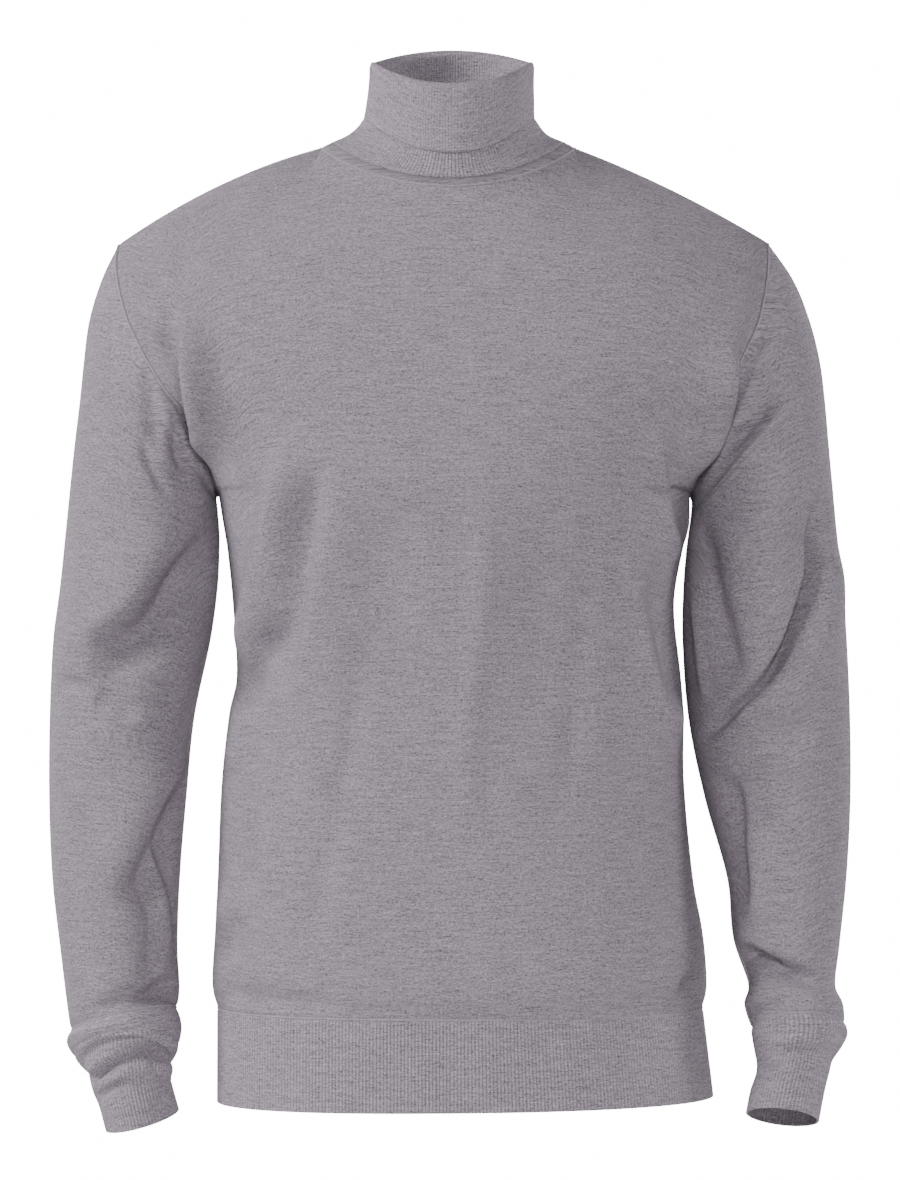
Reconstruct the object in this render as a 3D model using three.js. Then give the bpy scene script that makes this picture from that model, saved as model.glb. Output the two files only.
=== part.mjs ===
// A turtleneck sweater in fine knit, filled out as it is worn, with nobody in it.
// Millimetres, +Z up, the front faces -Y. Left and right are the wearer's, so left is +X.
// The origin is midway between the two high points of the shoulder seams, where the wearer holds it up.
import * as THREE from "three";

// Driving dimensions.
const jerseyWall = 1.6;
const ribWall = 1.6;
const ribHeight = 0.7;
const ribPitch = 6;
const seamGap = 0.3;
const hemTop = -617;
const hemDepth = 65;
const neckBandHeight = 5;
const neckBandProud = 0.9;
const neckShare = 0.42; // the share of a panel's half width that ends at the neckline
const armpitAt = 0.62; // how far up a panel the armpit lies, from 0 at the hem to 1 at the top
const limbSpread = 0.31; // above 0, the points of a sleeve's ring lie closer at its outer side

// How finely the cloth is divided.
const rowsBelowArmpit = 13;
const rowsAboveArmpit = 11;
const neckColumns = 10;
const shoulderColumns = 8;
const sleeveRings = 25;
const ringPoints = 2 * rowsAboveArmpit;
const plainPoints = 44;

const vec = (x, y, z) => new THREE.Vector3(x, y, z);
const mix = THREE.MathUtils.lerp;
const soft = THREE.MathUtils.smoothstep;

/** Turns rows of numbers into objects with named columns. */
function table(columns, rows) {
  return rows.map((row) => Object.fromEntries(columns.map((name, i) => [name, row[i]])));
}

// The body below the armpit, one row for each level, shared by front and back.
const bodyRings = table(
  ["at", "z", "right", "left", "front", "back", "square"],
  [
    [0.0, hemTop, -169.5, 181.0, -114, 109, 2.3],
    [0.028, -600, -172.3, 183.2, -118.5, 113, 2.3],
    [0.085, -565, -170.5, 180.5, -119.5, 113, 2.3],
    [0.15, -526, -168.5, 173.5, -119, 110, 2.3],
    [0.265, -455, -165.5, 166.8, -117, 103, 2.3],
    [0.345, -405, -160.0, 166.4, -117, 100, 2.3],
    [0.39, -380, -154.8, 164.6, -118, 100, 2.3],
    [0.475, -328, -157.4, 159.6, -121, 103, 2.35],
    [0.55, -287, -161.5, 164.5, -123.5, 107, 2.4],
    [armpitAt, -249, -167.8, 171.0, -125, 110, 2.4],
  ],
);

// Above the armpit a row runs from armhole to armhole. Turn is 1 where its ends face the side.
const sectionColumns = [
  "at", "centreY", "centreZ",
  "rightX", "rightY", "rightZ",
  "leftX", "leftY", "leftZ",
  "square", "turn",
];
const frontUpper = table(sectionColumns, [
  [0.665, -125, -234, -170, -19, -241, 173.5, -19, -242, 2.4, 0.9],
  [0.72, -123, -200, -179, -41, -211, 184, -40, -210, 2.4, 0.7],
  [0.785, -117, -158, -206, -60, -172, 204, -61, -169, 2.3, 0.45],
  [0.845, -104, -110, -230, -53, -127, 218, -55, -127, 2.2, 0.25],
  [0.9, -90, -66, -240, -27, -91, 226, -29, -92, 2.1, 0.1],
]);
const backUpper = table(sectionColumns, [
  [0.665, 111, -230, -170, 21, -241, 173.5, 21, -242, 2.4, 0.9],
  [0.72, 113, -192, -181, 46, -211, 185, 45, -210, 2.4, 0.7],
  [0.785, 113, -144, -207, 67, -171, 205, 67, -169, 2.3, 0.5],
  [0.845, 106, -88, -231, 66, -125, 219, 66, -126, 2.2, 0.3],
  [0.9, 90, -34, -240, 41, -88, 227, 41, -90, 2.1, 0.15],
]);

// The points where seams meet at the neck and at the tips of the shoulders.
const shoulder = {
  right: { neck: vec(-94, 4, 1), tip: vec(-240.5, 8, -68), arch: 8 },
  left: { neck: vec(88, 4, 1), tip: vec(228, 6, -67), arch: 4 },
};
const neckFront = vec(0, -76, -32);
const neckBack = vec(0, 62, 15);

// Sleeve sections: the outer and inner points as seen from the front, the middle and half of the depth,
// and how much the front point is lifted. The first row leaves the armhole.
const sleeveColumns = ["at", "outX", "outZ", "inX", "inZ", "midY", "depth", "lift"];
const sleeveSections = {
  right: table(sleeveColumns, [
    [0.05, -252.7, -94, -170.0, -251, 6, 66, 0],
    [0.1, -261.4, -123, -169.5, -255, 5, 65, 0],
    [0.15, -265.2, -152, -169.0, -259, 4, 64, 0],
    [0.21, -268.3, -182, -168.6, -264, 4, 63, 0],
    [0.28, -272.4, -217, -168.0, -271, 3, 62, 0],
    [0.36, -277.0, -262, -167.6, -284, 3, 62, 0],
    [0.45, -282.2, -313, -169.0, -315, 3, 61, 0],
    [0.53, -287.3, -353, -174.2, -353, 4, 60, 0],
    [0.62, -290.0, -408, -185.8, -408, 6, 57, 1],
    [0.72, -290.2, -468, -191.5, -466, 3, 53, 2],
    [0.82, -287.3, -526, -195.8, -522, -3, 49, 3],
    [0.91, -281.0, -578, -197.4, -572, -8, 45, 5],
    [0.965, -276.6, -612, -195.8, -602, -11, 43, 6],
    [1, -273.6, -633, -197.0, -616, -13, 39, 8],
  ]),
  left: table(sleeveColumns, [
    [0.05, 246.2, -94, 173.0, -254, 6, 66, 0],
    [0.1, 257.8, -123, 172.8, -258, 5, 65, 0],
    [0.15, 265.0, -152, 172.4, -262, 4, 64, 0],
    [0.21, 268.8, -182, 172.0, -268, 4, 63, 0],
    [0.28, 271.8, -217, 171.4, -276, 3, 62, 0],
    [0.36, 276.0, -262, 169.6, -290, 3, 62, 0],
    [0.45, 280.8, -313, 166.8, -318, 4, 62, 1],
    [0.53, 284.6, -353, 166.5, -355, 6, 61, 2],
    [0.62, 287.0, -408, 170.8, -410, 6, 58, 4],
    [0.72, 286.8, -466, 182.0, -466, -1, 54, 7],
    [0.82, 283.0, -522, 197.6, -524, -14, 49, 10],
    [0.905, 276.6, -574, 201.6, -568, -27, 44, 11],
    [0.94, 273.4, -600, 211.5, -598, -33, 41, 11],
    [0.97, 278.6, -613, 208.4, -612, -37, 40, 12],
    [1, 279.6, -627, 213.2, -628, -41, 37, 13],
  ]),
};

// Cuff sections in the same columns, with at as the share of the cuff's height.
const cuffSections = {
  right: table(sleeveColumns, [
    [0, -273.6, -633, -197.0, -616, -13, 39, 8],
    [0.12, -276.2, -642.5, -193.8, -630, -14, 40, 13],
    [0.28, -268.5, -653, -197.5, -645.5, -15, 36, 18],
    [0.4, -261.2, -659, -203.0, -652, -15, 31, 20],
    [0.52, -258.8, -669, -200.8, -660, -15, 32.5, 9],
    [0.64, -256.2, -678, -202.0, -668, -15, 29.5, 5],
    [0.76, -252.6, -686, -199.6, -678, -15, 30.5, 0],
    [1, -247.6, -704, -196.4, -690, -14, 31, -3],
  ]),
  left: table(sleeveColumns, [
    [0, 279.6, -627, 213.2, -628, -41, 37, 13],
    [0.14, 280.6, -634, 214.6, -637, -42, 37, 12],
    [0.28, 276.4, -642, 216.2, -646, -43, 35, 11],
    [0.42, 270.2, -651, 217.4, -653, -44, 32.5, 10],
    [0.56, 267.6, -660, 216.6, -661, -46, 31.5, 10],
    [0.76, 264.6, -674, 212.8, -673.5, -49, 31, 10],
    [1, 260.4, -695.5, 209.2, -689.5, -54, 30.5, 10.5],
  ]),
};

// Collar rings: half widths to the wearer's right and left, the front and back points, and the sides' height.
const collarColumns = ["right", "left", "frontY", "frontZ", "backY", "backZ", "sideZ"];
const standOutside = table(collarColumns, [
  [86.5, 81.0, -74.5, -26.5, 61, 19.5, 5.0],
  [74.5, 68.5, -72.0, -19, 59.5, 25, 10.5],
  [66.0, 62.0, -70.5, -11, 58, 31, 18],
  [60.8, 56.6, -68.5, 0, 56.5, 41, 28],
  [57.4, 56.0, -64.5, 22, 53.5, 58, 45],
  [56.0, 56.0, -62.0, 38, 51.5, 73, 59],
]);
const turnedOutside = table(collarColumns, [
  [63.6, 59.4, -73.5, -8.5, 61, 34, 22],
  [61.0, 59.0, -70.0, 8, 58, 48, 36],
  [59.6, 58.8, -67.5, 24, 56, 62, 49],
  [59.2, 59.2, -65.8, 38, 54.6, 74, 60],
]);
const collarGap = 0.9;
const collarCrown = 3.4;

// Folds, as seen from the front or the back: a line through three points, how far it is raised or sunk,
// and how wide it is on its left and right sides, seen along the line.
const foldColumns = [
  "face", "x0", "z0", "x1", "z1", "x2", "z2", "raise", "wideLeft", "wideRight",
];
const bodyFolds = table(foldColumns, [
  ["front", -114, -200, -131, -300, -154, -400, 4.5, 20, 14],
  ["front", -100, -204, -118, -290, -146, -384, -6.5, 17, 15],
  ["front", -86, -212, -100, -310, -116, -420, 4.0, 16, 24],
  ["front", -40, -230, -46, -330, -30, -440, -2.2, 26, 26],
  ["front", 68, -240, 66, -340, 60, -450, -2.4, 26, 26],
  ["front", 136, -190, 144, -230, 156, -276, 3.0, 9, 14],
  ["front", 146, -205, 156, -245, 164, -290, -5.0, 12, 14],
  ["front", 120, -270, 136, -346, 156, -440, 4.5, 18, 12],
  ["front", 134, -300, 146, -356, 160, -410, -4.5, 12, 12],
  ["front", -186, -120, -181, -180, -169, -238, 5.0, 14, 7],
  ["front", 199, -130, 189, -190, 174, -246, 5.0, 7, 14],
  ["front", -172, -604, -130, -608, -70, -610, -3.0, 10, 9],
  ["front", 182, -604, 140, -608, 90, -610, -3.0, 10, 9],
  ["front", 190, -588, 176, -594, 160, -598, -4.0, 6, 6],
  ["back", -170, -250, -120, -330, -70, -380, -5, 22, 18],
  ["back", -150, -210, -100, -290, -50, -330, 4, 18, 20],
  ["back", 172, -250, 124, -320, 76, -372, -5, 20, 20],
  ["back", 150, -205, 98, -280, 52, -322, 4, 18, 20],
  ["back", -150, -480, -60, -500, 20, -496, -4, 18, 22],
  ["back", 160, -470, 80, -462, 0, -470, -3.5, 18, 20],
  ["back", -60, -400, 10, -408, 90, -396, -3, 22, 20],
  ["back", -30, -60, -40, -160, -36, -260, -2, 22, 22],
  ["back", 36, -70, 44, -170, 40, -270, -2, 24, 22],
]);
const sleeveFolds = {
  right: table(foldColumns, [
    ["front", -170, -276, -214, -338, -262, -364, -7, 22, 20],
    ["front", -196, -296, -236, -346, -286, -384, 3.5, 16, 22],
    ["front", -262, -398, -240, -398, -222, -414, -3, 9, 10],
    ["front", -188, -420, -216, -478, -242, -532, 5, 16, 9],
    ["front", -186, -452, -206, -510, -226, -560, -7, 14, 14],
    ["front", -200, -596, -232, -610, -262, -622, -3.5, 8, 9],
    ["back", -176, -290, -220, -340, -270, -360, -5, 20, 18],
    ["back", -280, -420, -240, -440, -200, -430, -5, 18, 18],
    ["back", -196, -470, -224, -520, -260, -556, -4, 14, 16],
    ["back", -200, -596, -236, -606, -268, -616, -3, 8, 9],
  ]),
  left: table(foldColumns, [
    ["front", 262, -240, 250, -330, 206, -408, -8, 13, 20],
    ["front", 276, -262, 264, -346, 226, -418, 4, 14, 22],
    ["front", 192, -418, 226, -416, 262, -426, -3.5, 13, 14],
    ["front", 206, -470, 216, -520, 222, -560, 3.5, 14, 12],
    ["front", 204, -570, 224, -580, 262, -594, -5.5, 7, 8],
    ["back", 180, -292, 224, -340, 272, -356, -5, 18, 20],
    ["back", 274, -424, 236, -440, 196, -430, -6, 18, 18],
    ["back", 206, -480, 232, -520, 264, -552, -4, 16, 14],
    ["back", 214, -596, 240, -602, 268, -606, -3.5, 7, 8],
  ]),
};

/** A smooth curve through points at knots, with an optional direction at its end. */
function through(knots, points, at, endSlope) {
  const last = knots.length - 1;
  let k = 0;
  while (k < last - 1 && at > knots[k + 1]) k++;
  const slope = (i) => {
    if (i === last && endSlope) return endSlope;
    const before = Math.max(i - 1, 0);
    const after = Math.min(i + 1, last);
    return points[after].clone().sub(points[before]).divideScalar(knots[after] - knots[before]);
  };
  const span = knots[k + 1] - knots[k];
  const t = (at - knots[k]) / span;
  const t2 = t * t;
  const t3 = t2 * t;
  return points[k].clone().multiplyScalar(2 * t3 - 3 * t2 + 1)
    .addScaledVector(slope(k), (t3 - 2 * t2 + t) * span)
    .addScaledVector(points[k + 1], 3 * t2 - 2 * t3)
    .addScaledVector(slope(k + 1), (t3 - t2) * span);
}

/** The point of a body section at u, from -1 at its right end to 1 at its left end. */
function sectionPoint(s, u) {
  const side = u < 0 ? "right" : "left";
  const turned = THREE.MathUtils.degToRad(mix(30, 90, s.turn));
  const share = Math.sin(Math.abs(u) * turned) / Math.sin(turned);
  const swell = Math.max(0, 1 - share ** s.square) ** mix(1, 1 / s.square, s.turn);
  const centreX = (s.rightX + s.leftX) / 2;
  return vec(
    mix(centreX, s[side + "X"], share),
    mix(s[side + "Y"], s.centreY, swell),
    mix(s.centreZ, s[side + "Z"], share * share),
  );
}

/** A body ring's row as a section of the front or the back. */
function halfRing(ring, face) {
  return {
    at: ring.at, centreY: ring[face], centreZ: ring.z,
    rightX: ring.right, rightY: 0, rightZ: ring.z,
    leftX: ring.left, leftY: 0, leftZ: ring.z,
    square: ring.square, turn: 1,
  };
}

/** A point of a ring round the neck, from its row. The angle is 0 at the front and grows to the left. */
function neckPoint(row, angle) {
  const width = Math.sin(angle) < 0 ? row.right : row.left;
  const facing = Math.cos(angle);
  const endY = facing > 0 ? row.frontY : row.backY;
  const endZ = facing > 0 ? row.frontZ : row.backZ;
  const sideY = (row.frontY + row.backY) / 2 + 6;
  const reach = Math.abs(facing);
  return vec(width * Math.sin(angle), mix(sideY, endY, reach), mix(row.sideZ, endZ, reach ** 1.6));
}

// The neckline as a collar row, so that the band and the collar start from it.
const neckline = {
  right: -shoulder.right.neck.x, left: shoulder.left.neck.x,
  frontY: neckFront.y, frontZ: neckFront.z, backY: neckBack.y, backZ: neckBack.z,
  sideZ: shoulder.right.neck.z,
};

/** The top edge of a panel: shoulder seam, neckline, shoulder seam. */
function topEdge(face, u) {
  if (Math.abs(u) <= neckShare) {
    const quarter = (u / neckShare) * (Math.PI / 2);
    return neckPoint(neckline, face === "front" ? quarter : Math.PI - quarter);
  }
  const seam = u < 0 ? shoulder.right : shoulder.left;
  const start = topEdge(face, Math.sign(u) * neckShare);
  const share = (Math.abs(u) - neckShare) / (1 - neckShare);
  const point = start.lerp(seam.tip, share);
  point.z += seam.arch * 4 * share * (1 - share);
  return point;
}

/** The smooth surface of the front or back panel, without its folds. */
function panelBase(face) {
  const sections = [
    ...bodyRings.map((ring) => halfRing(ring, face)),
    ...(face === "front" ? frontUpper : backUpper),
  ];
  const knots = [...sections.map((s) => s.at), 1];
  const towardsSeam = face === "front" ? 1 : -1;
  return (u, at) => {
    const points = [...sections.map((s) => sectionPoint(s, u)), topEdge(face, u)];
    const last = points.length - 1;
    const chord = points[last].clone().sub(points[last - 1]).divideScalar(1 - knots[last - 1]);
    const level = vec(0, towardsSeam * chord.length(), 0);
    const onShoulder = soft(Math.abs(u), neckShare * 0.4, neckShare * 1.4);
    const point = through(knots, points, at, chord.lerp(level, onShoulder));
    if (at < armpitAt) point.y = -towardsSeam * Math.max(0, -towardsSeam * point.y);
    return point;
  };
}

/** The outward normal of a surface, by small steps. */
function normalOf(surface, u, at, outward) {
  const step = 0.004;
  const [u0, u1] = [Math.max(u - step, surface.low), Math.min(u + step, surface.high)];
  const [a0, a1] = [Math.max(at - step, 0), Math.min(at + step, 1)];
  const across = surface.point(u1, at).sub(surface.point(u0, at));
  const along = surface.point(u, a1).sub(surface.point(u, a0));
  return across.cross(along).normalize().multiplyScalar(outward);
}

/** How far the folds move a point that faces a given way. */
function foldAt(folds, point, normal) {
  let sum = 0;
  for (const f of folds) {
    const facing = f.face === "front" ? -normal.y : normal.y;
    if (facing <= 0) continue;
    let best = { gap: Infinity };
    const pieces = 10;
    for (let i = 0; i < pieces; i++) {
      const [ax, az] = foldLine(f, i / pieces);
      const [bx, bz] = foldLine(f, (i + 1) / pieces);
      const [dx, dz] = [bx - ax, bz - az];
      const t = THREE.MathUtils.clamp(
        ((point.x - ax) * dx + (point.z - az) * dz) / (dx * dx + dz * dz), 0, 1);
      const [ex, ez] = [point.x - ax - t * dx, point.z - az - t * dz];
      const gap = Math.hypot(ex, ez);
      if (gap < best.gap) best = { gap, along: (i + t) / pieces, left: dx * ez - dz * ex > 0 };
    }
    const wide = best.left ? f.wideLeft : f.wideRight;
    const ends = soft(best.along, 0, 0.3) * soft(1 - best.along, 0, 0.3);
    sum += f.raise * Math.exp(-((best.gap / wide) ** 2)) * ends * soft(facing, 0, 0.45);
  }
  return sum;
}

/** The point of a fold's line, in front view, at t from 0 to 1. */
function foldLine(f, t) {
  const [a, b, c] = [(1 - t) * (1 - 2 * t), 4 * t * (1 - t), t * (2 * t - 1)];
  return [a * f.x0 + b * f.x1 + c * f.x2, a * f.z0 + b * f.z1 + c * f.z2];
}

/** A surface with its folds added. Outward is 1 or -1, so that its normals point out. */
function folded(base, folds, outward, low, high) {
  const plain = { point: base, low, high };
  const point = (u, at) => {
    const p = base(u, at);
    const normal = normalOf(plain, u, at, outward);
    const held = soft(at, 0, 0.02) * soft(1 - at, 0, 0.03);
    return p.addScaledVector(normal, foldAt(folds, p, normal) * held);
  };
  const surface = { point, low, high };
  surface.normal = (u, at) => normalOf(surface, u, at, outward);
  return surface;
}

const panels = {
  front: folded(panelBase("front"), bodyFolds, 1, -1, 1),
  back: folded(panelBase("back"), bodyFolds, -1, -1, 1),
};

/** The armhole's edge at an angle, 0 at the shoulder's tip, a half turn at the armpit, front first. */
function armholePoint(side, angle) {
  const u = side === "right" ? -1 : 1;
  const turn = THREE.MathUtils.euclideanModulo(angle, 2 * Math.PI);
  const front = turn <= Math.PI;
  const share = front ? turn / Math.PI : 2 - turn / Math.PI;
  return panels[front ? "front" : "back"].point(u, 1 - share * (1 - armpitAt));
}

/** A point of a sleeve or cuff ring from its row, the angle 0 at the outer point, front next. */
function limbPoint(row, angle) {
  const turn = angle - limbSpread * Math.sin(angle);
  const [c, s] = [Math.cos(turn), Math.sin(turn)];
  return vec(
    (row.outX + row.inX) / 2 + ((row.outX - row.inX) / 2) * c,
    row.midY - row.depth * s,
    (row.outZ + row.inZ) / 2 + ((row.outZ - row.inZ) / 2) * c + row.lift * s,
  );
}

/** The surface of a sleeve, from the armhole at 0 to the cuff at 1. */
function sleeveSurface(side) {
  const rows = sleeveSections[side];
  const knots = [0, ...rows.map((row) => row.at)];
  const base = (angle, at) =>
    through(knots, [armholePoint(side, angle), ...rows.map((row) => limbPoint(row, angle))], at);
  return folded(base, sleeveFolds[side], side === "right" ? -1 : 1, -Infinity, Infinity);
}

/** The surface of a cuff, from the sleeve at 0 to the wrist at 1. */
function cuffSurface(side) {
  const rows = cuffSections[side];
  const knots = rows.map((row) => row.at);
  const base = (angle, at) => through(knots, rows.map((row) => limbPoint(row, angle)), at);
  return folded(base, [], side === "right" ? -1 : 1, -Infinity, Infinity);
}

const sleeves = { right: sleeveSurface("right"), left: sleeveSurface("left") };
const cuffs = { right: cuffSurface("right"), left: cuffSurface("left") };

/**
 * The faces between two lines of points, each given by index, whatever their counts.
 * Where both could step on, the first does if aFirst, so that a wall's two sides split alike.
 */
function stitch(a, b, ringed, aFirst, faces) {
  const [ends, bends] = ringed ? [a.length, b.length] : [a.length - 1, b.length - 1];
  const tie = aFirst ? 1e-9 : -1e-9;
  let [i, j] = [0, 0];
  while (i < ends || j < bends) {
    const stepA = j >= bends || (i < ends && (i + 1) / ends <= (j + 1) / bends + tie);
    if (stepA) faces.push(a[i], a[(i + 1) % a.length], b[j % b.length]);
    else faces.push(a[i % a.length], b[(j + 1) % b.length], b[j % b.length]);
    if (stepA) i++;
    else j++;
  }
}

/**
 * A closed wall from lines of points that go up its outside and down its inside.
 * Rings close on themselves; open lines get a rim at each end too.
 */
function wall(lines, ringed) {
  const points = lines.flat();
  let count = 0;
  const index = lines.map((line) => line.map(() => count++));
  const faces = [];
  index.forEach((line, k) =>
    stitch(line, index[(k + 1) % index.length], ringed, k < index.length / 2, faces));
  if (!ringed) {
    for (let k = 0; k < index.length / 2 - 1; k++) {
      const [a, b] = [index[k], index[k + 1]];
      const [d, c] = [index[index.length - 1 - k], index[index.length - 2 - k]];
      faces.push(a[0], b[0], c[0], a[0], c[0], d[0]);
      const [ea, eb, ec, ed] = [a.at(-1), b.at(-1), c.at(-1), d.at(-1)];
      faces.push(ea, ec, eb, ea, ed, ec);
    }
  }
  let volume = 0;
  for (let f = 0; f < faces.length; f += 3) {
    const [p, q, r] = [points[faces[f]], points[faces[f + 1]], points[faces[f + 2]]];
    volume += p.dot(q.clone().cross(r));
  }
  if (volume < 0) faces.reverse();
  const geometry = new THREE.BufferGeometry().setFromPoints(points);
  geometry.setIndex(faces);
  geometry.computeVertexNormals();
  return geometry;
}

/** Even steps from low to high, ends included. */
function steps(low, high, count) {
  return Array.from({ length: count + 1 }, (_, i) => mix(low, high, i / count));
}

/** Angles round a ring, spaced evenly along it. */
function evenAngles(curve, low, high, count, ringed) {
  const fine = steps(low, high, 240);
  const run = [0];
  fine.slice(1).forEach((angle, i) => run.push(run[i] + curve(angle).distanceTo(curve(fine[i]))));
  const whole = run.at(-1);
  const marks = steps(0, whole, count).slice(0, ringed ? count : count + 1);
  let k = 0;
  return marks.map((mark) => {
    while (k < run.length - 2 && run[k + 1] < mark) k++;
    return mix(fine[k], fine[k + 1], (mark - run[k]) / (run[k + 1] - run[k]));
  });
}

/**
 * The armhole seam at an angle: the unit step across it, from panel to sleeve, and the normals
 * of the two rims, which they share where they meet in a ridge.
 */
function armholeSeam(side, angle) {
  const u = side === "right" ? -1 : 1;
  const turn = angle % (2 * Math.PI);
  const height = 1 - (turn <= Math.PI ? turn / Math.PI : 2 - turn / Math.PI) * (1 - armpitAt);
  const atEnd = height === 1 || height === armpitAt;
  const faces = atEnd ? ["front", "back"] : [turn < Math.PI ? "front" : "back"];
  const seam = armholePoint(side, turn);
  const step = 0.02;
  const along = armholePoint(side, turn + step).sub(armholePoint(side, turn - step)).normalize();
  const towards = (normal, place) => {
    const direction = along.clone().cross(normal).normalize();
    return direction.multiplyScalar(Math.sign(direction.dot(place.sub(seam))));
  };
  const sleeveNormal = sleeves[side].normal(turn, 0.004);
  const panelNormal = faces
    .reduce((sum, face) => sum.add(panels[face].normal(u, height)), vec(0, 0, 0))
    .normalize();
  const intoSleeve = towards(sleeveNormal, sleeves[side].point(turn, 0.03));
  const intoPanel = towards(panelNormal, panels[faces[0]].point(u * 0.93, height - 0.04));
  const shared = panelNormal.clone().add(sleeveNormal).normalize();
  const ridge = intoSleeve.dot(panelNormal) < 0;
  return {
    across: intoSleeve.sub(intoPanel).normalize(),
    panelNormal: ridge ? shared : panelNormal,
    sleeveNormal: ridge ? shared : sleeveNormal,
  };
}

/** The front or back panel as a wall. */
function panelWall(face) {
  const { point, normal } = panels[face];
  const other = panels[face === "front" ? "back" : "front"];
  const away = face === "front" ? -1 : 1;
  const columns = [
    ...steps(-1, -neckShare, shoulderColumns),
    ...steps(-neckShare, neckShare, neckColumns).slice(1, -1),
    ...steps(neckShare, 1, shoulderColumns),
  ];
  const rows = [
    ...steps(0, armpitAt, rowsBelowArmpit),
    ...steps(armpitAt, 1, rowsAboveArmpit).slice(1),
  ];
  const inside = [];
  const outside = rows.map((at) => {
    const back = [];
    const line = columns.map((u) => {
      const p = point(u, at);
      let n = normal(u, at);
      const side = u < 0 ? "right" : "left";
      const atSide = Math.abs(u) === 1;
      const onShoulder = at === 1 && Math.abs(u) >= neckShare;
      if (atSide && at >= armpitAt) {
        const share = (1 - at) / (1 - armpitAt);
        const seam = armholeSeam(side, face === "front" ? share * Math.PI : (2 - share) * Math.PI);
        n = seam.panelNormal;
        p.addScaledVector(seam.across, -seamGap / 2);
      } else if (atSide) {
        n = vec(u, 0, 0);
      } else if (onShoulder) {
        n = n.clone().add(other.normal(u, at)).normalize();
      } else if (at === 1) {
        p.add(point(u, 0.99).sub(p).setLength(seamGap / 2));
      }
      if (onShoulder || (atSide && at <= armpitAt)) p.y += (away * seamGap) / 2;
      if (at === 0) n = n.clone().setZ(0).normalize();
      back.push(p.clone().addScaledVector(n, -jerseyWall));
      return p;
    });
    inside.unshift(back);
    return line;
  });
  return wall([...outside, ...inside], false);
}

/** A sleeve as a wall, its first ring on the points of the armhole. */
function sleeveWall(side) {
  const { point, normal } = sleeves[side];
  const angles = steps(0, 2 * Math.PI, ringPoints).slice(0, -1);
  const inside = [];
  const outside = steps(0, 1, sleeveRings).map((step) => {
    const at = step ** 1.12;
    const plane = flatNormal(angles.map((angle) => point(angle, at)));
    const back = [];
    const line = angles.map((angle) => {
      const p = point(angle, at);
      let n = normal(angle, at);
      if (at === 0) {
        const seam = armholeSeam(side, angle);
        n = seam.sleeveNormal;
        p.addScaledVector(seam.across, seamGap / 2);
      }
      if (at === 1) n = n.clone().projectOnPlane(plane).normalize();
      back.push(p.clone().addScaledVector(n, -jerseyWall));
      return p;
    });
    inside.unshift(back);
    return line;
  });
  return wall([...outside, ...inside], true);
}

/** The normal of the plane that a ring lies in. */
function flatNormal(ring) {
  const quarter = Math.round(ring.length / 4);
  const across = ring[0].clone().sub(ring[2 * quarter]);
  const along = ring[quarter].clone().sub(ring[3 * quarter]);
  return across.cross(along).normalize();
}

/** Lines of a ribbed wall: ridges raised on the outside, a plain inside. */
function ribbedLine(points, normals, raised) {
  return points.map((p, i) => p.clone().addScaledVector(normals[i], i % 2 ? ribHeight * raised : 0));
}

/** A cuff as a ribbed wall. */
function cuffWall(side) {
  const { point, normal } = cuffs[side];
  const around = (angle) => point(angle, 0.5);
  const fine = steps(0, 2 * Math.PI, 180);
  const length = fine.slice(1).reduce((sum, a, i) => sum + around(a).distanceTo(around(fine[i])), 0);
  const ribs = Math.round(length / ribPitch);
  const ribAngles = evenAngles(around, 0, 2 * Math.PI, 2 * ribs, true);
  const plainAngles = evenAngles(around, 0, 2 * Math.PI, ribs, true);
  const heights = cuffSections[side].map((row) => row.at);
  const plane = flatNormal(ribAngles.map((angle) => point(angle, 0)));
  const endPlane = flatNormal(ribAngles.map((angle) => point(angle, 1)));
  const rimmed = (angle, at) => {
    const n = normal(angle, at);
    if (at === 0) n.projectOnPlane(plane).normalize();
    if (at === 1) n.projectOnPlane(endPlane).normalize();
    return n;
  };
  const start = plane.clone().setLength(plane.z > 0 ? -seamGap : seamGap);
  const placed = (angle, at) => (at === 0 ? point(angle, at).add(start) : point(angle, at));
  const outside = heights.map((at) =>
    ribbedLine(ribAngles.map((a) => placed(a, at)), ribAngles.map((a) => rimmed(a, at)), 1));
  const inside = heights.map((at) =>
    plainAngles.map((a) => placed(a, at).addScaledVector(rimmed(a, at), -ribWall)));
  return wall([...outside, ...inside.reverse()], true);
}

// The hem band's levels, with its reach at each.
const hemRings = table(
  ["z", "right", "left", "front", "back"],
  [
    [hemTop - seamGap, -168.6, 180.4, -112.5, 107.5],
    [hemTop - hemDepth, -168.4, 187.4, -116, 110],
  ],
);

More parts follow.
